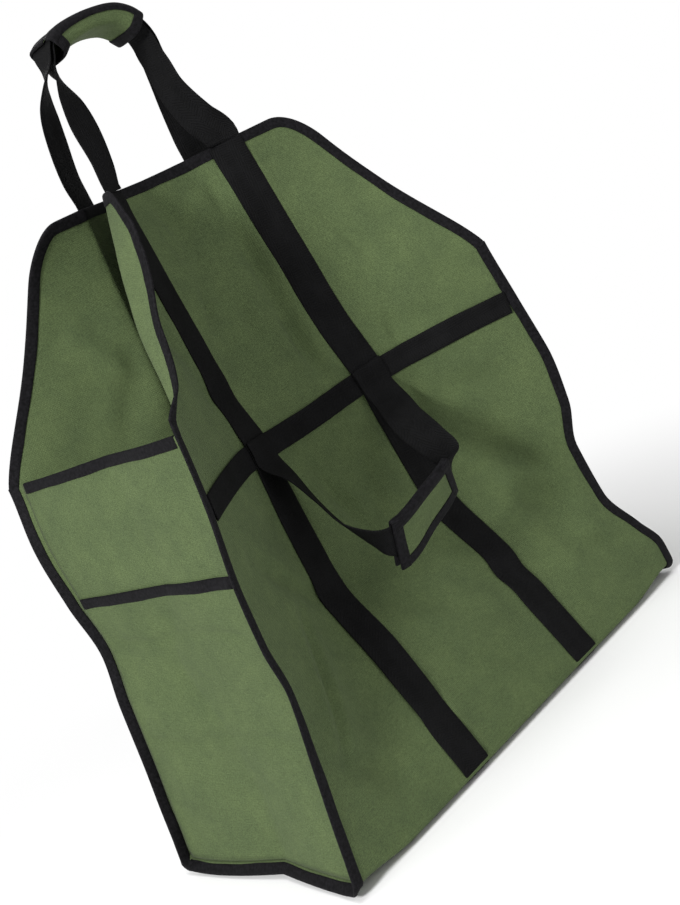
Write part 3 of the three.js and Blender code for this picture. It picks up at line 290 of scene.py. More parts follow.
def wallPoint(side, p, z):
    p, z = np.broadcast_arrays(np.asarray(p, float), np.asarray(z, float))
    place = flatWall(side, p, z)
    if side > 0:
        return place
    beyond = -(p - foldStart[0]) * foldDir[1] + (z - foldStart[1]) * foldDir[0]
    along = (p - foldStart[0]) * foldDir[0] + (z - foldStart[1]) * foldDir[1]
    turned = (p <= 0) & (beyond > 0) & (along > 0)
    footP = foldStart[0] + foldDir[0] * along
    footZ = foldStart[1] + foldDir[1] * along
    step = lapel["step"]
    origin = flatWall(side, footP, footZ)
    outward = unit(flatWall(side, footP - foldDir[1] * step, footZ + foldDir[0] * step) - origin)
    upward = unit(flatWall(side, footP + foldDir[0] * step, footZ + foldDir[1] * step) - origin)
    facing = unit(np.cross(upward, outward))
    turn = np.radians(smoothRead(lapelTurns["along"], lapelTurns["turn"], along / foldSize))
    radius = lapel["radius"]
    bent = np.minimum(beyond / radius, turn)
    straight = np.maximum(0, beyond - radius * turn)
    curl = lapel["curl"] * straight * straight / 90 * np.sin(np.clip(along / foldSize, 0, 1) * math.pi)
    out = origin + outward * (radius * np.sin(bent) + straight * np.cos(turn) - curl * 0.5)[..., None]
    out = out + facing * (radius * (1 - np.cos(bent)) + straight * np.sin(turn) - curl)[..., None]
    return np.where(turned[..., None], out, place)


def halfWidth(z):
    # the pattern's half width at height z: straight, then slanted, then the rounded corner
    z = np.asarray(z, float)
    angle = math.atan2(halfLength - bag["rimLength"] / 2, rimHeight - shoulder)
    radius = bag["cornerRadius"]
    tangent = radius * math.tan((math.pi / 2 - angle) / 2)
    centreP = bag["rimLength"] / 2 - tangent
    centreZ = rimHeight - radius
    slanted = halfLength - (z - shoulder) * math.tan(angle)
    arcStart = centreZ + radius * math.sin(angle)
    rounded = centreP + np.sqrt(np.maximum(0, radius ** 2 - (z - centreZ) ** 2))
    return np.where(z <= shoulder, halfLength, np.where(z < arcStart, slanted, rounded))


def baseKink(hand, y):
    at = np.where(hand < 0, endCreases["leftAt"][0], endCreases["rightAt"][0])
    deep = np.where(hand < 0, endCreases["leftIn"][0], endCreases["rightIn"][0]) * halfDepth
    near = np.clip(1 - np.abs(y / halfDepth - at) / endCreases["width"], 0, 1)
    return deep * near ** 1.5


finTurn = {"share": [0, 0.75, 0.95, 1.0], "degrees": [45, 45, 28, 14]}    # by the share of half the depth


def finAngle(y):
    # how steeply the taped base seam points down, in radians, less so by the corners
    return np.radians(np.interp(np.abs(y) / halfDepth, finTurn["share"], finTurn["degrees"]))


def withFin(p, y, inner):
    # cloth beyond the base's corner line bends down into the taped seam
    hand = np.where(p < 0, -1.0, 1.0)
    over = np.maximum(0, np.abs(p) - (halfLength - edgeStrip))
    angle = finAngle(y)
    inner = inner.copy()
    inner[..., 0] += hand * over * np.cos(angle)
    inner[..., 2] -= over * np.sin(angle)
    return inner


def basePoint(p, y):
    p, y = np.broadcast_arrays(np.asarray(p, float), np.asarray(y, float))
    hand = np.where(p < 0, -1.0, 1.0)
    held = np.clip(np.abs(p), 0, halfLength - edgeStrip)
    t = np.clip((held / halfLength - 0.55) / 0.42, 0, 1)
    kink = baseKink(hand, y) * t * t
    x = hand * held - hand * kink
    flat = np.clip(np.abs(np.abs(p) - bag["strapBase"]) / 40 - 0.3, 0, 1)
    z = bag["baseLevel"] + endLift(held) + kink * 0.25 + 0.5 * (ripple(p, y, 5) + 0.6) * flat
    return withFin(p, y, np.stack([x, y + 0 * x, z], -1))


def cornerPoint(side, p, angle):
    p, angle = np.broadcast_arrays(np.asarray(p, float), np.asarray(angle, float))
    held = np.clip(p, -(halfLength - edgeStrip), halfLength - edgeStrip)
    y = side * (halfDepth - bag["foldRadius"] * (1 - np.cos(angle)))
    z = foldLevel - bag["foldRadius"] * np.sin(angle) + endLift(held)
    over = np.abs(p) - (halfLength - edgeStrip)
    inner = np.stack([held, y, z], -1)
    return np.where((over > 0)[..., None], withFin(p, y, inner), inner)


# One running length goes round the sheet: front rim 0, down, under the base, and up to the back rim
cornerLength = bag["foldRadius"] * math.pi / 2
frontEnd = rimHeight - foldLevel
baseStart = frontEnd + cornerLength
baseLength = 2 * (halfDepth - bag["foldRadius"])
baseEnd = baseStart + baseLength
backStart = baseEnd + cornerLength
sheetLength = backStart + frontEnd


def sheetPoint(s, p):
    s, p = np.broadcast_arrays(np.asarray(s, float), np.asarray(p, float))
    front = wallPoint(-1, p, rimHeight - np.minimum(s, frontEnd))
    back = wallPoint(1, p, foldLevel + np.maximum(0, s - backStart))
    frontCorner = cornerPoint(-1, p, np.clip((s - frontEnd) / bag["foldRadius"], 0, math.pi / 2))
    backCorner = cornerPoint(1, p, np.clip((backStart - s) / bag["foldRadius"], 0, math.pi / 2))
    base = basePoint(p, np.clip(s - baseStart - baseLength / 2, -baseLength / 2, baseLength / 2))
    out = np.where((s <= frontEnd)[..., None], front, frontCorner)
    out = np.where((s >= baseStart)[..., None], base, out)
    out = np.where((s >= baseEnd)[..., None], backCorner, out)
    return np.where((s >= backStart)[..., None], back, out)


def sheetNormal(s, p, step=2.0):
    # points out of the bag
    s, p = np.broadcast_arrays(np.asarray(s, float), np.asarray(p, float))
    ds = sheetPoint(np.minimum(s + step, sheetLength), p) - sheetPoint(np.maximum(s - step, 0), p)
    dp = sheetPoint(s, p + step) - sheetPoint(s, p - step)
    return unit(np.cross(ds, dp))


def frontS(z):
    return rimHeight - np.asarray(z, float)


def backS(z):
    return backStart + np.asarray(z, float) - foldLevel


def wallS(side, z):
    return frontS(z) if side < 0 else backS(z)


def heightAt(s):
    # height on the pattern at a running length, 0 under the base
    up = np.where(s >= backStart, foldLevel + s - backStart, 0)
    return np.where(s <= frontEnd, rimHeight - s, up)


# Mesh helpers
def makePiece(name, points, faces, material, uv=None, smooth=True):
    points = np.asarray(points, float).reshape(-1, 3) * mm
    points[:, 1] += bag["shiftY"] * mm
    mesh = bpy.data.meshes.new(name)
    mesh.from_pydata(points.tolist(), [], [list(map(int, f)) for f in faces])
    if uv is not None:
        layer = mesh.uv_layers.new(name="clothMap")
        flat = np.asarray(uv, float).reshape(-1, 2) * mm
        index = np.zeros(len(mesh.loops), int)
        mesh.loops.foreach_get("vertex_index", index)
        layer.data.foreach_set("uv", flat[index].ravel())
    mesh.validate()
    if smooth:
        mesh.polygons.foreach_set("use_smooth", [True] * len(mesh.polygons))
    piece = bpy.data.objects.new(name, mesh)
    bpy.context.scene.collection.objects.link(piece)
    mesh.materials.append(material)
    mesh.update()
    return piece


def runAlong(line):
    # distance from a line's start to each of its points
    return np.concatenate([[0], np.cumsum(np.linalg.norm(np.diff(line, axis=0), axis=1))])


def gridFaces(rows, columns, start=0, flip=False):
    r, c = np.meshgrid(np.arange(rows - 1), np.arange(columns - 1), indexing="ij")
    a = start + r * columns + c
    quads = np.stack([a, a + columns, a + columns + 1, a + 1], -1).reshape(-1, 4)
    return quads[:, ::-1] if flip else quads


def tubeFaces(rows, columns, flip=False):
    # a closed section carried along rows, with a cap at each end
    r, c = np.meshgrid(np.arange(rows - 1), np.arange(columns), indexing="ij")
    a = r * columns + c
    b = r * columns + (c + 1) % columns
    corners = [a, b, b + columns, a + columns] if flip else [a, a + columns, b + columns, b]
    caps = [list(range(columns)), list(range((rows - 1) * columns, rows * columns))]
    caps[0 if flip else 1].reverse()
    return [list(f) for f in np.stack(corners, -1).reshape(-1, 4)] + caps


def gridNormals(grid):
    return unit(np.cross(np.gradient(grid, axis=0), np.gradient(grid, axis=1)))


def gridMap(across, run):
    # the pattern place of each point of a grid: across it and along it
    return np.stack(np.meshgrid(across, run), -1)


rimEase = 0.35    # share of its thickness that a cloth keeps at its rim


def clothShell(name, grid, thick, material, uv=None):
    # a grid of points becomes a closed cloth with two faces and a rounded rim
    rows, columns = grid.shape[:2]
    normals = gridNormals(grid)
    ease = np.ones((rows, columns, 1))
    ease[[0, -1], :] = rimEase
    ease[:, [0, -1]] = rimEase
    outer = grid + normals * thick / 2 * ease
    inner = grid - normals * thick / 2 * ease
    count = rows * columns
    faces = [gridFaces(rows, columns), gridFaces(rows, columns, count, True)]
    ringIndex = np.concatenate([
        np.arange(columns), np.arange(1, rows) * columns + columns - 1,
        (rows - 1) * columns + np.arange(columns - 2, -1, -1), np.arange(rows - 2, 0, -1) * columns])
    after = np.roll(ringIndex, -1)
    faces.append(np.stack([ringIndex, after, after + count, ringIndex + count], -1))
    if uv is None:
        u = runAlong(grid[rows // 2])
        v = runAlong(grid[:, columns // 2])
        uv = gridMap(u - u[-1] / 2, v)
    uv = np.concatenate([uv.reshape(-1, 2)] * 2)
    points = np.concatenate([outer.reshape(-1, 3), inner.reshape(-1, 3)])
    return makePiece(name, points, np.concatenate(faces), material, uv)


def resample(line, step):
    # evenly spaced places along a line of points
    line = np.asarray(line, float)
    lengths = runAlong(line)
    count = max(2, int(round(lengths[-1] / step)) + 1)
    at = np.linspace(0, lengths[-1], count)
    return np.stack([np.interp(at, lengths, line[:, k]) for k in range(line.shape[1])], -1)


def smoothLine(line, rounds=2):
    line = np.asarray(line, float).copy()
    for _ in range(rounds):
        line[1:-1] = line[1:-1] * 0.5 + (line[:-2] + line[2:]) * 0.25
    return line


# Folded tape round a cloth edge: section points as (into the cloth, off its middle), in mm
tape = {"show": 10.5, "nose": 1.25, "half": 1.7, "thick": 0.75, "waver": 0.35}


def tapeSection():
    show, half, nose = tape["show"], tape["half"], tape["nose"]
    top = [(show, half - tape["thick"]), (show + 0.1, half - 0.25), (show - 0.4, half),
           (show * 0.6, half + 0.05), (show * 0.25, half), (0.2, half - 0.1),
           (-nose * 0.75, half * 0.55), (-nose, 0)]
    low = [(a, -b) for a, b in top[:-1]][::-1]
    return np.array(top + low)


def edgeTape(name, edges, inners, material):
    # edges runs along the cloth's edge, inners lies inside it
    edges = np.asarray(edges, float)
    inward = unit(np.asarray(inners, float) - edges)
    along = unit(np.gradient(edges, axis=0))
    inward = squareTo(along, inward)
    normal = unit(np.cross(along, inward))
    for _ in range(2):
        normal[1:-1] = unit(normal[:-2] + 2 * normal[1:-1] + normal[2:])
    section = tapeSection()
    run = runAlong(edges)
    waver = tape["waver"] * (np.sin(run / 23.0) + 0.6 * np.sin(run / 9.0 + 1))
    points = (edges[:, None] + inward[:, None] * (section[None, :, 0, None] + waver[:, None, None]
              * (section[None, :, 0, None] > 5)) + normal[:, None] * section[None, :, 1, None])
    return makePiece(name, points, tubeFaces(*points.shape[:2]), material, gridMap(runAlong(section), run))


# A band's section: places across as shares of half its width, and half its thickness there
bandSection = {"across": [-1, -0.985, -0.95, -0.8, -0.5, 0, 0.5, 0.8, 0.95, 0.985, 1],
               "crown": [0, 0.28, 0.46, 0.5, 0.5, 0.5, 0.5, 0.5, 0.46, 0.28, 0]}


def webBand(name, centres, across, material, width):
    # a flat band with rounded edges, laid along centre places with the way its width points
    centres = np.asarray(centres, float)
    along = unit(np.gradient(centres, axis=0))
    across = squareTo(along, np.asarray(across, float))
    away = unit(np.cross(along, across))
    share = np.array(bandSection["across"]) * (width / 2)
    crown = away[:, None] * (np.array(bandSection["crown"]) * bag["webThick"])[None, :, None]
    middle = centres[:, None] + across[:, None] * share[None, :, None]
    points = np.concatenate([middle + crown, (middle - crown)[:, 1:-1][:, ::-1]], 1)
    uv = gridMap(np.concatenate([share, share[1:-1][::-1]]), runAlong(centres))
    return makePiece(name, points, tubeFaces(*points.shape[:2], True), material, uv)


# Materials
def hexColour(text):
    channels = [int(text[i:i + 2], 16) / 255 for i in (1, 3, 5)]
    linear = [c / 12.92 if c <= 0.04045 else ((c + 0.055) / 1.055) ** 2.4 for c in channels]
    return (*linear, 1.0)


def addNode(material, kind, settings=None, links=None):
    # one node with its settings; links maps an input to (node, output)
    node = material.node_tree.nodes.new(kind)
    for key, value in (settings or {}).items():
        if isinstance(key, int) or key in node.inputs:
            node.inputs[key].default_value = value
        else:
            setattr(node, key, value)
    for key, (source, output) in (links or {}).items():
        material.node_tree.links.new(source.outputs[output], node.inputs[key])
    return node


def clothPlace(material):
    return addNode(material, "ShaderNodeUVMap", {"uv_map": "clothMap"})


def splitPlace(material):
    return addNode(material, "ShaderNodeSeparateXYZ", {}, {"Vector": (clothPlace(material), "UV")})


def newMaterial(name, look):
    material = bpy.data.materials.new(name)
    material.use_nodes = True
    shader = material.node_tree.nodes["Principled BSDF"]
    shader.inputs["Roughness"].default_value = look["roughness"]
    shader.inputs["Specular IOR Level"].default_value = look["specular"]
    shader.inputs["Sheen Weight"].default_value = look["sheen"]
    shader.inputs["Sheen Roughness"].default_value = 0.4
    return material, shader


def addMath(material, operation, *inputs):
    # an input is a number or (node, output)
    numbers = {i: value for i, value in enumerate(inputs) if not isinstance(value, tuple)}
    links = {i: value for i, value in enumerate(inputs) if isinstance(value, tuple)}
    return addNode(material, "ShaderNodeMath", {"operation": operation, **numbers}, links)


def addNoise(material, size, detail=2.0, roughness=0.5):
    # uneven patches, size in mm
    place = addNode(material, "ShaderNodeTexCoord")
    return addNode(material, "ShaderNodeTexNoise", {"Scale": 1 / (size * mm), "Detail": detail,
                   "Roughness": roughness}, {"Vector": (place, "Object")})


def addRamp(material, source, low, high, colours):
    node = addNode(material, "ShaderNodeValToRGB", {}, {"Fac": source})
    for element, position, colour in zip(node.color_ramp.elements, (low, high), colours):
        element.position = position
        element.color = colour
    return node


def addBump(material, relief, links):
    return addNode(material, "ShaderNodeBump", {"Strength": relief[0], "Distance": relief[1]}, links)


def lookColours(look):
    return [hexColour(look["dark"]), hexColour(look["light"])]


canvasLook = {
    "dark": "#465337",
    "light": "#576541",
    "thread": 0.9,        # mm between threads; the real 0.5 mm is too fine to show
    "mottle": 45.0,       # mm across a patch of uneven dye
    "crumple": 14.0,      # mm across a soft dent
    "speck": 1.5,         # mm across a fleck of the weave
    "fleck": 0.30,        # how much a fleck darkens or brightens
    "crumpleBump": (0.16, 0.004), "weaveBump": (0.5, 0.0003),    # strength, and height in metres
    "roughness": 0.85, "specular": 0.12, "sheen": 0.04,
}


def paintCanvas():
    # Coated polyester canvas, plain woven: dull, slightly uneven green, with a fine square grain
    look = canvasLook
    material, shader = newMaterial("coatedCanvas", look)
    links = material.node_tree.links
    place = clothPlace(material)
    scale = math.pi / (look["thread"] * mm) / 20    # the wave texture runs 20 to the unit
    warp, weft = [addNode(material, "ShaderNodeTexWave", {
        "Scale": scale, "Distortion": 0.6, "Detail": 1.0, "Detail Scale": 3.0, "wave_type": "BANDS",
        "bands_direction": way}, {"Vector": (place, "UV")}) for way in ("X", "Y")]
    weave = addMath(material, "ADD", (warp, "Fac"), (weft, "Fac"))
    mottle = addNoise(material, look["mottle"], 6.0, 0.72)
    speck = addNoise(material, look["speck"], 2.0, 0.8)
    base = addRamp(material, (mottle, "Fac"), 0.22, 0.80, lookColours(look))
    grain = addNode(material, "ShaderNodeMapRange", {
        "From Min": 0.3, "From Max": 0.7, "To Min": 1 - look["fleck"], "To Max": 1 + look["fleck"]},
        {"Value": (speck, "Fac")})
    tint = addNode(material, "ShaderNodeVectorMath", {"operation": "SCALE"},
                   {0: (base, "Color"), 3: (grain, "Result")})
    links.new(tint.outputs[0], shader.inputs["Base Color"])
    crumple = addNoise(material, look["crumple"], 4.0, 0.55)
    coarse = addBump(material, look["crumpleBump"], {"Height": (crumple, "Fac")})
    fine = addBump(material, look["weaveBump"], {"Height": (weave, "Value"), "Normal": (coarse, "Normal")})
    links.new(fine.outputs["Normal"], shader.inputs["Normal"])
    return material


def finishRibbed(material, shader, look, shade, low, high, height):
    base = addRamp(material, (shade, "Value"), low, high, lookColours(look))
    bump = addBump(material, look["bump"], {"Height": (height, "Value")})
    material.node_tree.links.new(base.outputs["Color"], shader.inputs["Base Color"])
    material.node_tree.links.new(bump.outputs["Normal"], shader.inputs["Normal"])
    return material


def addRibs(material, look, along):
    turns = addMath(material, "MULTIPLY", along, 2 * math.pi / (look["rib"] * mm))
    return addMath(material, "SINE", (turns, "Value"))


webLook = {
    "dark": "#030303", "light": "#151516",
    "rib": 2.3, "herringbone": 9.5, "fuzz": 1.4, "drift": 30,    # mm
    "ribShare": 0.30, "driftShare": 0.7, "bump": (0.7, 0.0007),
    "roughness": 0.7, "specular": 0.08, "sheen": 0.0,
}


def paintWebbing():
    # Polypropylene webbing, herringbone woven: near-black, with a low painted sheen: the slanted ribs are
    # painted lighter in its colour
    look = webLook
    material, shader = newMaterial("polypropyleneWebbing", look)
    split = splitPlace(material)
    folded = addMath(material, "PINGPONG", (split, "X"), look["herringbone"] * mm)
    slant = addMath(material, "ADD", (folded, "Value"), (split, "Y"))
    rib = addRibs(material, look, (slant, "Value"))
    fuzz = addNoise(material, look["fuzz"], 3.0)
    drift = addNoise(material, look["drift"], 3.0)
    # the ribs' share lightens the colour along each rib as painted sheen, and also raises the ribs in the
    # bump
    weave = addMath(material, "MULTIPLY_ADD", (rib, "Value"), look["ribShare"], (fuzz, "Fac"))
    shade = addMath(material, "MULTIPLY_ADD", (drift, "Fac"), look["driftShare"], (weave, "Value"))
    return finishRibbed(material, shader, look, shade, 0.55, 1.15, weave)


tapeLook = {
    "dark": "#050506", "light": "#1a191c", "rib": 1.6, "fuzz": 3.0,
    "ribShare": 0.10, "bump": (0.35, 0.0006),
    "roughness": 0.72, "specular": 0.10, "sheen": 0.01,
}


def paintTape():
    # Grosgrain binding tape, ribbed across its length: black, a little paler where light grazes it
    look = tapeLook
    material, shader = newMaterial("grosgrainTape", look)
    split = splitPlace(material)
    rib = addRibs(material, look, (split, "Y"))
    fuzz = addNoise(material, look["fuzz"], 4.0)
    weave = addMath(material, "MULTIPLY_ADD", (rib, "Value"), look["ribShare"], (fuzz, "Fac"))
    return finishRibbed(material, shader, look, weave, 0.30, 0.75, weave)


threadLook = {"colour": "#0c0c0e", "twist": 1.5, "roughness": 0.5, "specular": 0.4, "sheen": 0.1}


def paintThread():
    # Bonded polyester thread: a little glossier than the cloth it is sewn into
    material, shader = newMaterial("blackThread", threadLook)
    twist = addNoise(material, threadLook["twist"])
    low = hexColour(threadLook["colour"])
    high = tuple(min(1, c * 1.5) for c in low[:3]) + (1.0,)
    base = addRamp(material, (twist, "Fac"), 0.35, 0.65, [low, high])
    material.node_tree.links.new(base.outputs["Color"], shader.inputs["Base Color"])
    return material


canvas = paintCanvas()
webbing = paintWebbing()
grosgrain = paintTape()
blackThread = paintThread()
print("materials made")


def ready(piece, node):
    # hands a finished piece to the frame in place of its CAD node
    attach(piece, "root")
    if node:
        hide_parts(node)
    return piece


def addCloth(name, node, grid, uv=None):
    return ready(clothShell(name, grid, bag["clothThick"], canvas, uv), node)


def addStrip(name, node, grid):
    return ready(clothShell(name, grid, wrapLook["strip"], grosgrain), node)


def addTape(name, node, edges, inners):
    return ready(edgeTape(name, edges, inners, grosgrain), node)


def addWeb(name, node, centres, across, width=webWidth):
    return ready(webBand(name, centres, across, webbing, width), node)


# Main sheet
sheetLook = {
    "wallRows": 92, "rimGather": 1.25,      # rows stand closer near the rim
    "baseRows": 36, "columns": 141,
    "edgeGather": 1.12,                     # columns stand a little closer at the taped edges
}


def sheetRows():
    wall = frontEnd * (1 - np.linspace(1, 0, sheetLook["wallRows"]) ** sheetLook["rimGather"])
    corner = np.linspace(0, cornerLength, 5)[1:-1]
    base = baseStart + np.linspace(0, baseLength, sheetLook["baseRows"])
    return np.concatenate([wall, frontEnd + corner, base, baseEnd + corner, sheetLength - wall[::-1]])


def buildSheet():
    s = sheetRows()
    wide = halfWidth(heightAt(s))
    share = np.linspace(-1, 1, sheetLook["columns"])
    share = np.sign(share) * (1 - (1 - np.abs(share)) ** sheetLook["edgeGather"])
    p = wide[:, None] * share[None, :]
    grid = sheetPoint(s[:, None], p)
    uv = np.stack([p, np.broadcast_to(s[:, None], p.shape)], -1)
    addCloth("clothSheet", "main_sheet", grid, uv)


buildSheet()
print("main sheet built")


# Tape on the sheet
def seamLine(hand):
    # the cloth's side edge from the front shoulder, under the base end, to the back shoulder
    s = np.concatenate([frontS(np.linspace(shoulder + 1.5, foldLevel, 75)),
                        frontEnd + np.linspace(0, cornerLength, 5)[1:-1],
                        baseStart + np.linspace(0, baseLength, 48),
                        baseEnd + np.linspace(0, cornerLength, 5)[1:-1],
                        backS(np.linspace(foldLevel, shoulder + 1.5, 75))])
    return sheetPoint(s, hand * halfLength), sheetPoint(s, hand * (halfLength - edgeStrip))


def rimLine(side):
    # round the wings and along the top edge, left shoulder to right shoulder
    z = shoulder - 1.5 + (rimHeight - shoulder + 1.5) * (1 - (1 - np.linspace(0, 1, 60)) ** 1.6)
    edgeLeft = np.stack([-halfWidth(z), z], -1)
    corner = float(halfWidth(rimHeight))
    top = np.stack([np.linspace(-corner, corner, 74)[1:-1], np.full(72, rimHeight)], -1)
    path = resample(np.concatenate([edgeLeft, top, (edgeLeft * [-1, 1])[::-1]]), 4.5)
    along = unit(np.gradient(path, axis=0))
    inward = np.stack([along[:, 1], -along[:, 0]], -1) * edgeStrip
    return (wallPoint(side, path[:, 0], path[:, 1]),
            wallPoint(side, path[:, 0] + inward[:, 0], path[:, 1] + inward[:, 1]))


for hand, sideName in hands:
    addTape("seamTape_" + sideName, "side_binding_" + sideName, *seamLine(hand))
for side, sideName in walls:
    addTape("rimTape_" + sideName, "rim_binding_" + sideName, *rimLine(side))
print("seam and rim tapes built")

# End walls and pockets
endLook = {
    "wallInset": 3.0, "pocketInset": 0.5,     # mm in from the inner edge of the seam tape
    "standOff": 1.75, "footRise": 1.0, "footInset": 6.0,
    "columns": 46, "rows": 84,
    "wave": 3.6, "waveSeed": 3,               # depth of the soft waves in mm, and their phase
    "boxCreases": [(262, 4.5, 1.9), (150, 4.5, 1.9)],    # height, width and depth
}


def endSeam(hand, side, z, inset):
    s = wallS(side, z)
    p = hand * (halfLength - edgeStrip - inset)
    return sheetPoint(s, p) - sheetNormal(s, p) * endLook["standOff"]


def endWall(hand, top, inset):
    name = "left" if hand < 0 else "right"
    z = np.linspace(0, 1, endLook["rows"]) ** 0.9 * (top - foldLevel) + foldLevel
    share = np.linspace(-1, 1, endLook["columns"])
    front = endSeam(hand, -1, z, inset)
    back = endSeam(hand, 1, z, inset)
    grid = front[:, None] + (back - front)[:, None] * ((share + 1) / 2)[None, :, None]
    at = atRise(endCreases, name + "At", z / rimHeight)[:, None]
    deep = atRise(endCreases, name + "In", z / rimHeight)[:, None] * halfDepth
    near = np.clip(1 - np.abs(share[None, :] - at) / endCreases["width"], 0, 1)
    push = deep * (0.75 * near ** 1.5 + 0.25 * near ** 4)
    calm = np.clip((1 - np.abs(share[None, :])) / 0.25, 0, 1)
    y = grid[..., 1]
    push = push + endLook["wave"] * ripple(y, grid[..., 2], endLook["waveSeed"]) * calm
    for level, wide, depth in endLook["boxCreases"]:
        push = push + depth * np.exp(-((grid[..., 2] - level + 3 * np.sin(y / 31)) / wide) ** 2) * calm
    grid[..., 0] -= hand * push
    # the lowest rows turn in with the base
    foot = basePoint(hand * (halfLength - edgeStrip - inset), share * (halfDepth - endLook["footInset"]))
    foot[:, 2] += endLook["standOff"] + endLook["footRise"]
    grid[0] = foot
    grid[1] = grid[1] * 0.5 + (grid[0] + grid[2]) * 0.25
    if hand > 0:
        grid = grid[:, ::-1]
    return grid


endPieces = [  # the cloth and its node, its tape and that node, the top, and the key of the inset
    ("endWall_", "end_panel_", "endTopTape_", "end_top_binding_", shoulder, "wallInset"),
    ("pocket_", "end_pocket_", "pocketTape_", "pocket_top_binding_", bag["pocketHeight"], "pocketInset"),
]
for hand, sideName in hands:
    for cloth, clothNode, binding, bindingNode, top, inset in endPieces:
        wall = endWall(hand, top, endLook[inset])
        addCloth(cloth + sideName, clothNode + sideName, wall)
        addTape(binding + sideName, bindingNode + sideName, wall[-1, 1:-1], wall[-4, 1:-1])
print("end walls and pockets built")

# Webbing on the sheet
webLayer = {
    "first": 2.15, "second": 4.45, "handle": 6.9,    # mm from the cloth's middle to the webbing's middle
    "overRim": 1.3,       # mm further out over the rim tape
    "seamGap": 0.6,       # mm between a cross strap's end and the seam tape
    "sag": 3.0, "sagReach": 70.0,                    # dip of a cross strap in the middle
    "climb": 20.0,        # half height of the rise over a cross strap
}


def acrossSheet(s, p, reach=15):
    return sheetPoint(s, p + reach) - sheetPoint(s, p - reach)


def crossStrap(side):
    end = halfLength - edgeStrip - webLayer["seamGap"]
    p = np.linspace(-end, end, 150)
    half = bag["crossWidth"] / 2
    sag = webLayer["sag"] * np.exp(-(p / webLayer["sagReach"]) ** 2)
    z = bag["crossHeight"] - 1.5 * np.cos(p / 60) - sag
    s = wallS(side, z)
    centre = sheetPoint(s, p) + sheetNormal(s, p, 6) * webLayer["first"]
    high = sheetPoint(wallS(side, z + half), p)
    low = sheetPoint(wallS(side, z - half), p)
    return smoothLine(centre, 3), high - low


def longStrap(hand):
    flat = np.concatenate([[0.0], np.linspace(2, sheetLength - 2, 330), [sheetLength]])
    z = heightAt(flat)
    p = hand * strapCentre(z)
    near = np.exp(-((z - bag["crossHeight"]) / webLayer["climb"]) ** 4)
    rim = np.clip((z - (rimHeight - 22)) / 10, 0, 1)
    off = webLayer["first"] + (webLayer["second"] - webLayer["first"]) * near
    off = off + webLayer["overRim"] * rim
    centre = sheetPoint(flat, p) + sheetNormal(flat, p, 6) * off[:, None]
    return centre, acrossSheet(flat, p)


for side, sideName in walls:
    addWeb("crossWeb_" + sideName, "cross_strap_" + sideName, *crossStrap(side), bag["crossWidth"])
strapEnds = {}
for hand, sideName in hands:
    centre, across = longStrap(hand)
    calm = smoothLine(centre, 2)
    strapEnds[sideName] = (calm[0], calm[-1])
    addWeb("wallWeb_" + sideName, "strap_" + sideName, calm, across)
print("webbing on the sheet built")

# Top loops and their wrap
# Rows of the top loops from left to right: x as a share of half the straps' span, y of the strap's
# distance, up of the rise, and the twist in degrees (0 along the bag, 90 across it)
topLoop = {
    "rise": 168.0, "spacing": 4.1, "start": 675.4,
    "leftFront": [(-1.0, 1, 0, 31), (-1.0, 1, 0.06, 31), (-0.90, 0.80, 0.20, 24), (-0.80, 0.48, 0.42, 14),
                  (-0.75, 0.32, 0.58, 24), (-0.72, 0.16, 0.70, 46), (-0.71, 0, 0.82, 74)],
    "leftBack": [(-1.0, 1, 0, 31), (-1.0, 1, 0.06, 31), (-1.05, 0.80, 0.20, 28), (-1.04, 0.48, 0.42, 26),
                 (-0.98, 0.32, 0.58, 32), (-0.88, 0.16, 0.70, 50), (-0.75, 0, 0.82, 74)],
    "grip": [(-0.68, 0, 0.925, 90), (-0.54, 0, 0.962, 90), (-0.25, 0, 0.990, 90), (0.10, 0, 1.0, 90),
             (0.40, 0, 0.985, 90), (0.60, 0, 0.940, 90), (0.73, 0, 0.880, 90)],
    "rightFront": [(0.80, 0, 0.79, 92), (0.78, 0.16, 0.69, 94), (0.77, 0.32, 0.58, 97),
                   (0.75, 0.50, 0.42, 104), (0.85, 0.80, 0.20, 126), (1.0, 1, 0.06, 149), (1.0, 1, 0, 149)],
    "rightBack": [(0.80, 0, 0.79, 92), (0.83, 0.16, 0.69, 94), (0.85, 0.32, 0.58, 97),
                  (0.88, 0.50, 0.42, 106), (0.95, 0.80, 0.20, 126), (1.0, 1, 0.06, 149), (1.0, 1, 0, 149)],
}


def curveThrough(rows, count):
    # a smooth curve through rows of numbers, evenly spaced along its first three
    rows = np.asarray(rows, float)
    size = runAlong(rows[:, :3])
    fine = np.linspace(0, size[-1], count)
    slope = np.zeros_like(rows)
    slope[1:-1] = (rows[2:] - rows[:-2]) / (size[2:] - size[:-2])[:, None]
    slope[0] = (rows[1] - rows[0]) / (size[1] - size[0])
    slope[-1] = (rows[-1] - rows[-2]) / (size[-1] - size[-2])
    i = np.clip(np.searchsorted(size, fine, side="right") - 1, 0, len(rows) - 2)
    h = (size[i + 1] - size[i])[:, None]
    t = ((fine - size[i]) / (size[i + 1] - size[i]))[:, None]
    return cubic(t, h, rows[i], rows[i + 1], slope[i], slope[i + 1])


def loopRows(table, side):
    look = topLoop
    rows = []
    for x, y, up, twist in table:
        start = strapEnds["left" if x < 0 else "right"][0 if side < 0 else 1]
        reach = bag["strapRim"] + y * (abs(start[0]) - bag["strapRim"])
        turn = math.radians(twist)
        rows.append([x * reach, y * start[1], look["start"] + up * look["rise"],
                     math.cos(turn), math.sin(turn), 0.0, math.sin(turn) ** 2])
    return rows


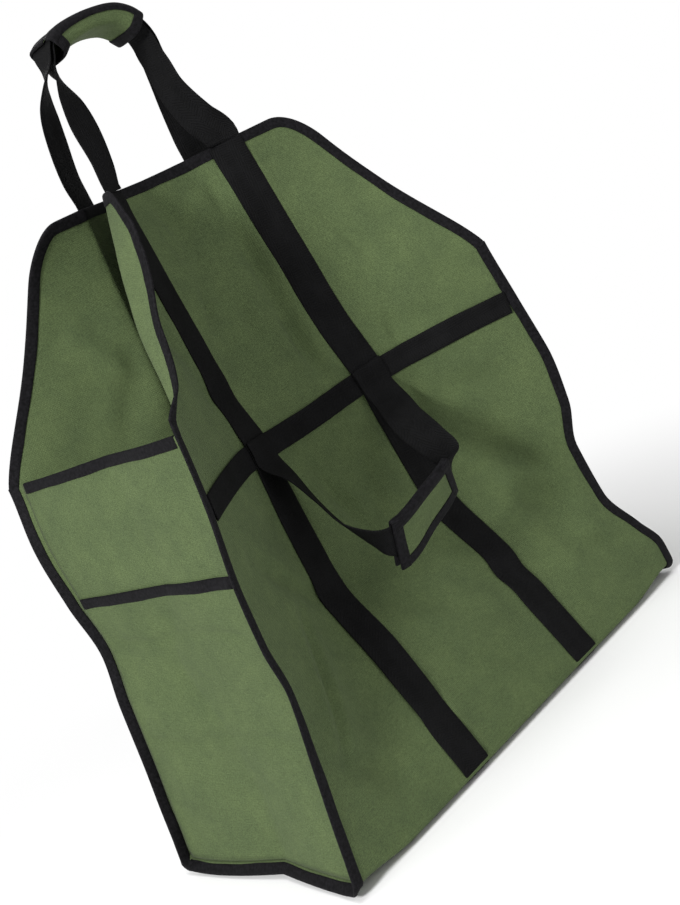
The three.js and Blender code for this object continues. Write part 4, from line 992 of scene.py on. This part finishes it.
def loopBand(side):
    name = "Front" if side < 0 else "Back"
    table = topLoop["left" + name] + topLoop["grip"] + topLoop["right" + name]
    line = curveThrough(loopRows(table, side), 150)
    centre, across, share = line[:, :3], unit(line[:, 3:6]), line[:, 6]
    along = unit(np.gradient(centre, axis=0))
    across = squareTo(along, across)
    away = unit(np.cross(along, across))
    centre = centre + away * (side * np.clip(share, 0, 1) * topLoop["spacing"] / 2)[:, None]
    return centre, across


for side, sideName in walls:
    addWeb("topLoop_" + sideName, "top_handle_" + sideName, *loopBand(side))

# The wrap's section from the taped seam at its upper front, round the back and below: shares of half
# its width and of its height
topWrap = {
    "width": 48.0, "height": 24.0, "squeeze": 0.05, "wave": 0.8,
    "across": [-0.40, 0.00, 0.60, 0.90, 1.00, 0.99, 0.86, 0.40,
               0.00, -0.42, -0.86, -1.0, -1.0, -0.93, -0.70],
    "up": [1.03, 1.04, 1.02, 0.97, 0.76, 0.34, 0.10, 0.01,
           0.0, 0.01, 0.10, 0.34, 0.74, 0.98, 1.04],
    # the tape over the seam: place on the section as above, and mm outwards
    "tape": [(-0.45, 1.04, 0, 1.5), (-0.75, 1.03, -0.2, 1.5), (-0.93, 0.99, -1.0, 1.1),
             (-1.0, 0.82, -1.7, 0.2), (-1.0, 0.64, -1.8, 0.0)],
}


def wrapFrame():
    line = curveThrough(loopRows(topLoop["grip"], -1), 56)
    centre = line[:, :3]
    along = unit(np.gradient(centre, axis=0))
    across = squareTo(along, np.array([0, 1.0, 0]))
    return centre, across, unit(np.cross(along, across))


def wrapPlace(share, sideways, level):
    # a place of the section at a share of the wrap's length: mm across and mm up, with soft waves
    # a little thinner in the middle
    height = topWrap["height"] * (0.75 + 0.20 * np.abs(share) ** 1.5)
    top = (topLoop["spacing"] + bag["webThick"] + bag["clothThick"]) / 2 + wrapLook["clearance"]
    a = sideways * topWrap["width"] / 2 * (1 - topWrap["squeeze"] * np.abs(share) ** 4)
    b = top - (1 - level) * height
    wave = ripple(share * 57, sideways * 24 + 40 * level, 4)
    return a, b + topWrap["wave"] * wave, wave


def buildTopWrap():
    centre, across, away = wrapFrame()
    section = curveThrough(np.stack([topWrap["across"], topWrap["up"], np.zeros(15)], -1), 64)[None, :, :2]
    share = np.linspace(-1, 1, len(centre))
    a, b, wave = wrapPlace(share[:, None], section[..., 0], section[..., 1])
    hollow = np.sin(np.clip(section[..., 1], 0, 1) * math.pi)
    a = a + wave * 0.9 * hollow * np.sign(a)
    grid = centre[:, None] + across[:, None] * a[..., None] + away[:, None] * b[..., None]
    addCloth("topWrap", "top_grip", grid)
    # tape bound over the seam, and round both open ends
    tapeGrid = []
    for sideways, level, outX, outZ in topWrap["tape"]:
        a, b, wave = wrapPlace(share, sideways, level)
        tapeGrid.append(centre + across * (a + outX)[:, None] + away * (b + outZ)[:, None])
    addStrip("topWrapTape", "top_grip_binding", np.array(tapeGrid).transpose(1, 0, 2)[:, ::-1])
    for k, endName in ((0, "left"), (-1, "right")):
        edge = resample(grid[k], 3.0)
        inner = curveThrough(grid[4 if k == 0 else -5], len(edge))
        addTape("topWrapEnd_" + endName, None, edge, inner)


buildTopWrap()
print("top loops built")

# Side handles
sideLoop = {
    "out": 95.0, "drop": 118.0,
    # x of half the span, out, down, then the way the webbing's width points
    "rows": [
        (0.92, 0.19, 0.29, 0.92, -0.38, 0.05), (0.71, 0.50, 0.46, 0.68, -0.73, 0.10),
        (0.62, 0.80, 0.68, 0.45, -0.75, 0.45), (0.62, 0.93, 0.85, 0.25, -0.60, 0.75),
        (0.46, 0.96, 0.95, 0.00, -0.47, 0.88), (-0.08, 0.97, 1.04, 0.00, -0.45, 0.89),
        (-0.70, 0.95, 1.12, 0.00, -0.45, 0.89), (-0.85, 0.82, 1.04, -0.35, -0.70, 0.62),
        (-0.89, 0.54, 0.87, -0.58, -0.78, 0.24), (-0.87, 0.27, 0.60, -0.63, -0.75, 0.20),
        (-0.92, 0.14, 0.32, -0.76, -0.63, 0.12),
    ],
    "gripFirst": 4, "gripLast": 6, "hang": 56.0, "hangShare": (0.85, 1.0),
}


def crossingPlace(side, hand, z):
    s = wallS(side, z)
    p = hand * strapCentre(z)
    at = (sheetPoint(s, p) + sheetNormal(s, p, 6) * webLayer["handle"]).reshape(3)
    width = unit(acrossSheet(s, p)).reshape(3)
    return [*at, *(width * -side)]


def sideRows(side):
    hand = -side
    levels = bag["crossHeight"] + bag["crossWidth"] / 2 * np.array([1, 0, -1])
    first = [crossingPlace(side, hand, z) for z in levels]
    last = [crossingPlace(side, -hand, z) for z in levels[::-1]]
    spanX = (abs(first[2][0]) + abs(last[0][0])) / 2
    nearY = (abs(first[2][1]) + abs(last[0][1])) / 2
    rows = list(first)
    for x, out, down, ax, ay, az in sideLoop["rows"]:
        rows.append([hand * x * spanX, side * (nearY + out * sideLoop["out"]),
                     bag["crossHeight"] - down * sideLoop["drop"], hand * ax, -side * ay, az])
    rows += [[*f[:3], -f[3], -f[4], -f[5]] for f in last]
    return np.array(rows, float)


# The side wrap folds over the webbing's upper edge and hangs open below it
# down as a share of its hang, and mm outwards
sideWrap = {
    "down": [1.0, 0.8, 0.58, 0.30, 0.06, 0.0, -0.012],
    "out": [2.6, 2.2, 1.2, 0.2, 0.0, -1.0, -3.1],
    "tapeDown": [0.17, 0.06, -0.014, -0.034],
    "tapeOut": [2.0, 1.5, -0.2, -2.4],
    "wave": 1.8, "backWave": 0.8,
}


def buildSideHandle(side, sideName):
    rows = sideRows(side)
    line = curveThrough(rows, 170)
    centre, across = line[:, :3], unit(line[:, 3:6])
    soft = smoothLine(centre, 2)
    addWeb("sideLoop_" + sideName, "side_handle_" + sideName, soft, across)
    # where the wrap starts and ends on the line, after the three rows that are sewn to the wall
    first, last = [int(np.argmin(np.linalg.norm(centre - rows[3 + sideLoop[key], :3], axis=1)))
                   for key in ("gripFirst", "gripLast")]
    part = resample(np.concatenate([soft, across], 1)[first:last + 1], 2.2)
    middle, width = part[:, :3], unit(part[:, 3:6])
    along = unit(np.gradient(middle, axis=0))
    width = squareTo(along, width)
    away = unit(np.cross(along, width))
    share = np.linspace(0, 1, len(middle))
    hang = sideLoop["hang"] * np.interp(share, [0, 1], sideLoop["hangShare"])
    top = (webWidth + bag["clothThick"]) / 2 + wrapLook["clearance"]
    near = -(bag["webThick"] + bag["clothThick"]) / 2 - wrapLook["clearance"]
    flap = curveThrough(np.stack([sideWrap["down"], sideWrap["out"], np.zeros(7)], -1), 26)[:, :2]
    a = top - flap[None, :, 0] * hang[:, None]
    b = np.broadcast_to(near - flap[None, :, 1], a.shape)
    wave = ripple(share[:, None] * 120, flap[None, :, 0] * 56, 6)
    outer = b + wave * sideWrap["wave"] * np.clip(flap[None, :, 0], 0, 1)

    def leaf(up, off):
        return middle[:, None] + width[:, None] * up[..., None] + away[:, None] * off[..., None]

    rear = leaf(a, -(b + wave * sideWrap["backWave"]))
    grid = np.concatenate([leaf(a, outer)[:, :-1], rear[:, ::-1][:, 1:]], 1)
    addCloth("sideWrap_" + sideName, "side_grip_" + sideName, grid)
    # tape over the fold, then round the wrap's four edges
    foldA = top - np.array(sideWrap["tapeDown"])[None, :] * hang[:, None]
    foldB = np.broadcast_to(near - np.array(sideWrap["tapeOut"])[None, :], foldA.shape)
    strip = np.concatenate([leaf(foldA, foldB), leaf(foldA, -foldB)[:, ::-1]], 1)
    addStrip("sideWrapFoldTape_" + sideName, None, strip)
    bound = [(grid[:, 0], grid[:, 4], "lowFront"), (grid[:, -1], grid[:, -5], "lowBack"),
             (grid[0], grid[3], "right"), (grid[-1], grid[-4], "left")]
    for edge, inner, place in bound:
        node = "side_grip_" + sideName + "_binding" if place == "lowFront" else None
        addTape("sideWrapTape_" + sideName + "_" + place, node, edge, inner)


for side, sideName in walls:
    buildSideHandle(side, sideName)
print("side handles built")

# Stitching
stitch = {"pitch": 3.4, "length": 2.5, "thick": 0.55, "sink": 0.12, "uneven": 0.15}
insideSeams = {  # in mm
    "edge": 16.5, "foot": 30, "head": 14, "endGap": 20,
    "boxes": [(585, 625), (354, 392)], "boxHalf": 15,
}


def readAt(at, run, line):
    return np.array([np.interp(at, run, line[:, i]) for i in range(3)])


def stitchRow(line, normals, points, faces):
    # small spindles of thread lying along a line on the cloth
    line = np.asarray(line, float)
    run = runAlong(line)
    for number in range(int(run[-1] / stitch["pitch"])):
        middle = (number + 0.5) * stitch["pitch"] + random.uniform(-stitch["uneven"], stitch["uneven"])
        half = stitch["length"] / 2
        first, centre, last = [readAt(at, run, line) for at in (middle - half, middle, middle + half)]
        normal = unit(readAt(middle, run, normals))
        beside = unit(np.cross(normal, unit(last - first)))
        high = centre + normal * (stitch["thick"] * 0.5 - stitch["sink"])
        k = len(points)
        points.extend([first - normal * 0.1, last - normal * 0.1, high + beside * stitch["thick"] / 2,
                       high - beside * stitch["thick"] / 2, high + normal * stitch["thick"] / 2])
        faces.extend([[k + i for i in corners] for corners in (
            (0, 2, 4), (0, 4, 3), (1, 4, 2), (1, 3, 4), (0, 3, 2), (1, 2, 3))])


def stitchesOnSheet(name, lines, inside):
    points, faces = [], []
    for s, p in lines:
        way = -1 if inside else 1
        place = sheetPoint(s, p)
        normal = sheetNormal(s, p) * way
        stitchRow(place + normal * bag["clothThick"] / 2, normal, points, faces)
    piece = makePiece(name, points, faces, blackThread, smooth=False)
    return ready(piece, None)


def insideLines():
    # the webbing's seams show as rows of stitches on the inside of the walls, with a boxed cross
    # where a top loop is sewn on
    lines = []
    edge, half = insideSeams["edge"], insideSeams["boxHalf"]
    for side in (-1, 1):
        for hand in (-1, 1):
            for offset in (-edge, edge):
                z = np.linspace(insideSeams["foot"], rimHeight - insideSeams["head"], 160)
                lines.append((wallS(side, z), hand * strapCentre(z) + offset))
            for low, high in insideSeams["boxes"]:
                centre = hand * strapCentre((low + high) / 2)
                t = np.linspace(0, 1, 12)
                for start, end in ((low, low), (high, high), (low, high), (high, low)):
                    lines.append((wallS(side, start + (end - start) * t), centre - half + 2 * half * t))
        reach = halfLength - insideSeams["endGap"]
        p = np.linspace(-reach, reach, 150)
        for level in (-edge, edge):
            lines.append((wallS(side, np.full(150, bag["crossHeight"] + level)), p))
    return lines


stitchesOnSheet("insideStitches", insideLines(), True)
print("stitching built")

# Floor, light and camera
stageLook = {
    "floor": "#f7f7f7", "level": -0.0012, "half": 14.0,    # metres
    "fadeFrom": 0.30, "fadeTo": 0.95,
    "sky": 0.40, "seenSky": 1.0,                           # strength of its light, and as the camera sees it
    "roughness": 0.9, "specular": 0.1, "sheen": 0.0,
}


def buildFloor():
    size, level = stageLook["half"], stageLook["level"]
    mesh = bpy.data.meshes.new("floor")
    corners = [(-size, -size, level), (size, -size, level), (size, size, level), (-size, size, level)]
    mesh.from_pydata(corners, [], [(0, 1, 2, 3)])
    floor = bpy.data.objects.new("floor", mesh)
    bpy.context.scene.collection.objects.link(floor)
    # white paper: matt, so only a soft shadow shows, and it glows away from the bag
    material, shader = newMaterial("paperFloor", stageLook)
    shader.inputs["Base Color"].default_value = hexColour(stageLook["floor"])
    place = addNode(material, "ShaderNodeTexCoord")
    reach = addNode(material, "ShaderNodeVectorMath", {"operation": "LENGTH"}, {0: (place, "Object")})
    fade = addNode(material, "ShaderNodeMapRange", {
        "From Min": stageLook["fadeFrom"], "From Max": stageLook["fadeTo"],
        "interpolation_type": "SMOOTHSTEP"}, {"Value": (reach, "Value")})
    glow = addNode(material, "ShaderNodeEmission", {"Strength": 1.0, "Color": (1, 1, 1, 1)})
    blend = addNode(material, "ShaderNodeMixShader", {},
                    {0: (fade, "Result"), 1: (shader, "BSDF"), 2: (glow, "Emission")})
    nodes = material.node_tree.nodes
    material.node_tree.links.new(blend.outputs[0], nodes["Material Output"].inputs["Surface"])
    mesh.materials.append(material)


buildFloor()

scene = bpy.context.scene
world = bpy.data.worlds.new("paleStudio")
scene.world = world
world.use_nodes = True
worldNodes = world.node_tree.nodes
sky = worldNodes["Background"]
sky.inputs["Color"].default_value = (1, 1, 1, 1)
sky.inputs["Strength"].default_value = stageLook["sky"]
bright = addNode(world, "ShaderNodeBackground", {"Color": (1, 1, 1, 1), "Strength": stageLook["seenSky"]})
seen = addNode(world, "ShaderNodeLightPath")
either = addNode(world, "ShaderNodeMixShader", {}, {0: (seen, "Is Camera Ray"), 1: (sky, 0), 2: (bright, 0)})
world.node_tree.links.new(either.outputs[0], worldNodes["World Output"].inputs["Surface"])

lamps = {  # place in metres, size, power in watts
    "keyLeft": ((-2.6, -0.8, 1.7), 0.7, 84),
    "fillFront": ((0.6, -3.2, 1.6), 2.4, 20),
    "topSoft": ((-0.4, -0.2, 3.0), 1.4, 26),
    "backEdge": ((1.2, 2.6, 1.8), 1.6, 12),
}
for lampName, (place, size, power) in lamps.items():
    data = bpy.data.lights.new(lampName, "AREA")
    data.shape = "DISK"
    data.size = size
    data.energy = power
    lamp = bpy.data.objects.new(lampName, data)
    lamp.location = place
    lamp.rotation_mode = "QUATERNION"
    lamp.rotation_quaternion = (Vector((0, 0, 0.35)) - Vector(place)).to_track_quat("-Z", "Y")
    scene.collection.objects.link(lamp)
print("light set")

view = {"azimuth": -38.294, "elevation": 10.674, "roll": -27.468,
        "place": (-856.2, -1139.7, 592.7), "lens": 52.86}


def buildCamera():
    az, el, roll = (math.radians(view[k]) for k in ("azimuth", "elevation", "roll"))
    back = Vector((math.sin(az) * math.cos(el), -math.cos(az) * math.cos(el), math.sin(el)))
    right = Vector((math.cos(az), math.sin(az), 0))
    up = back.cross(right)
    camX = right * math.cos(roll) + up * math.sin(roll)
    camY = up * math.cos(roll) - right * math.sin(roll)
    data = bpy.data.cameras.new("photoCamera")
    data.lens = view["lens"]
    data.sensor_width = 36
    camera = bpy.data.objects.new("photoCamera", data)
    turn = Matrix((camX, camY, back)).transposed().to_4x4()
    place = Vector(view["place"]) * mm + Vector((0, bag["shiftY"] * mm, 0))
    camera.matrix_world = Matrix.Translation(place) @ turn
    scene.collection.objects.link(camera)
    scene.camera = camera


buildCamera()
scene.view_settings.view_transform = "Standard"
print("camera set")
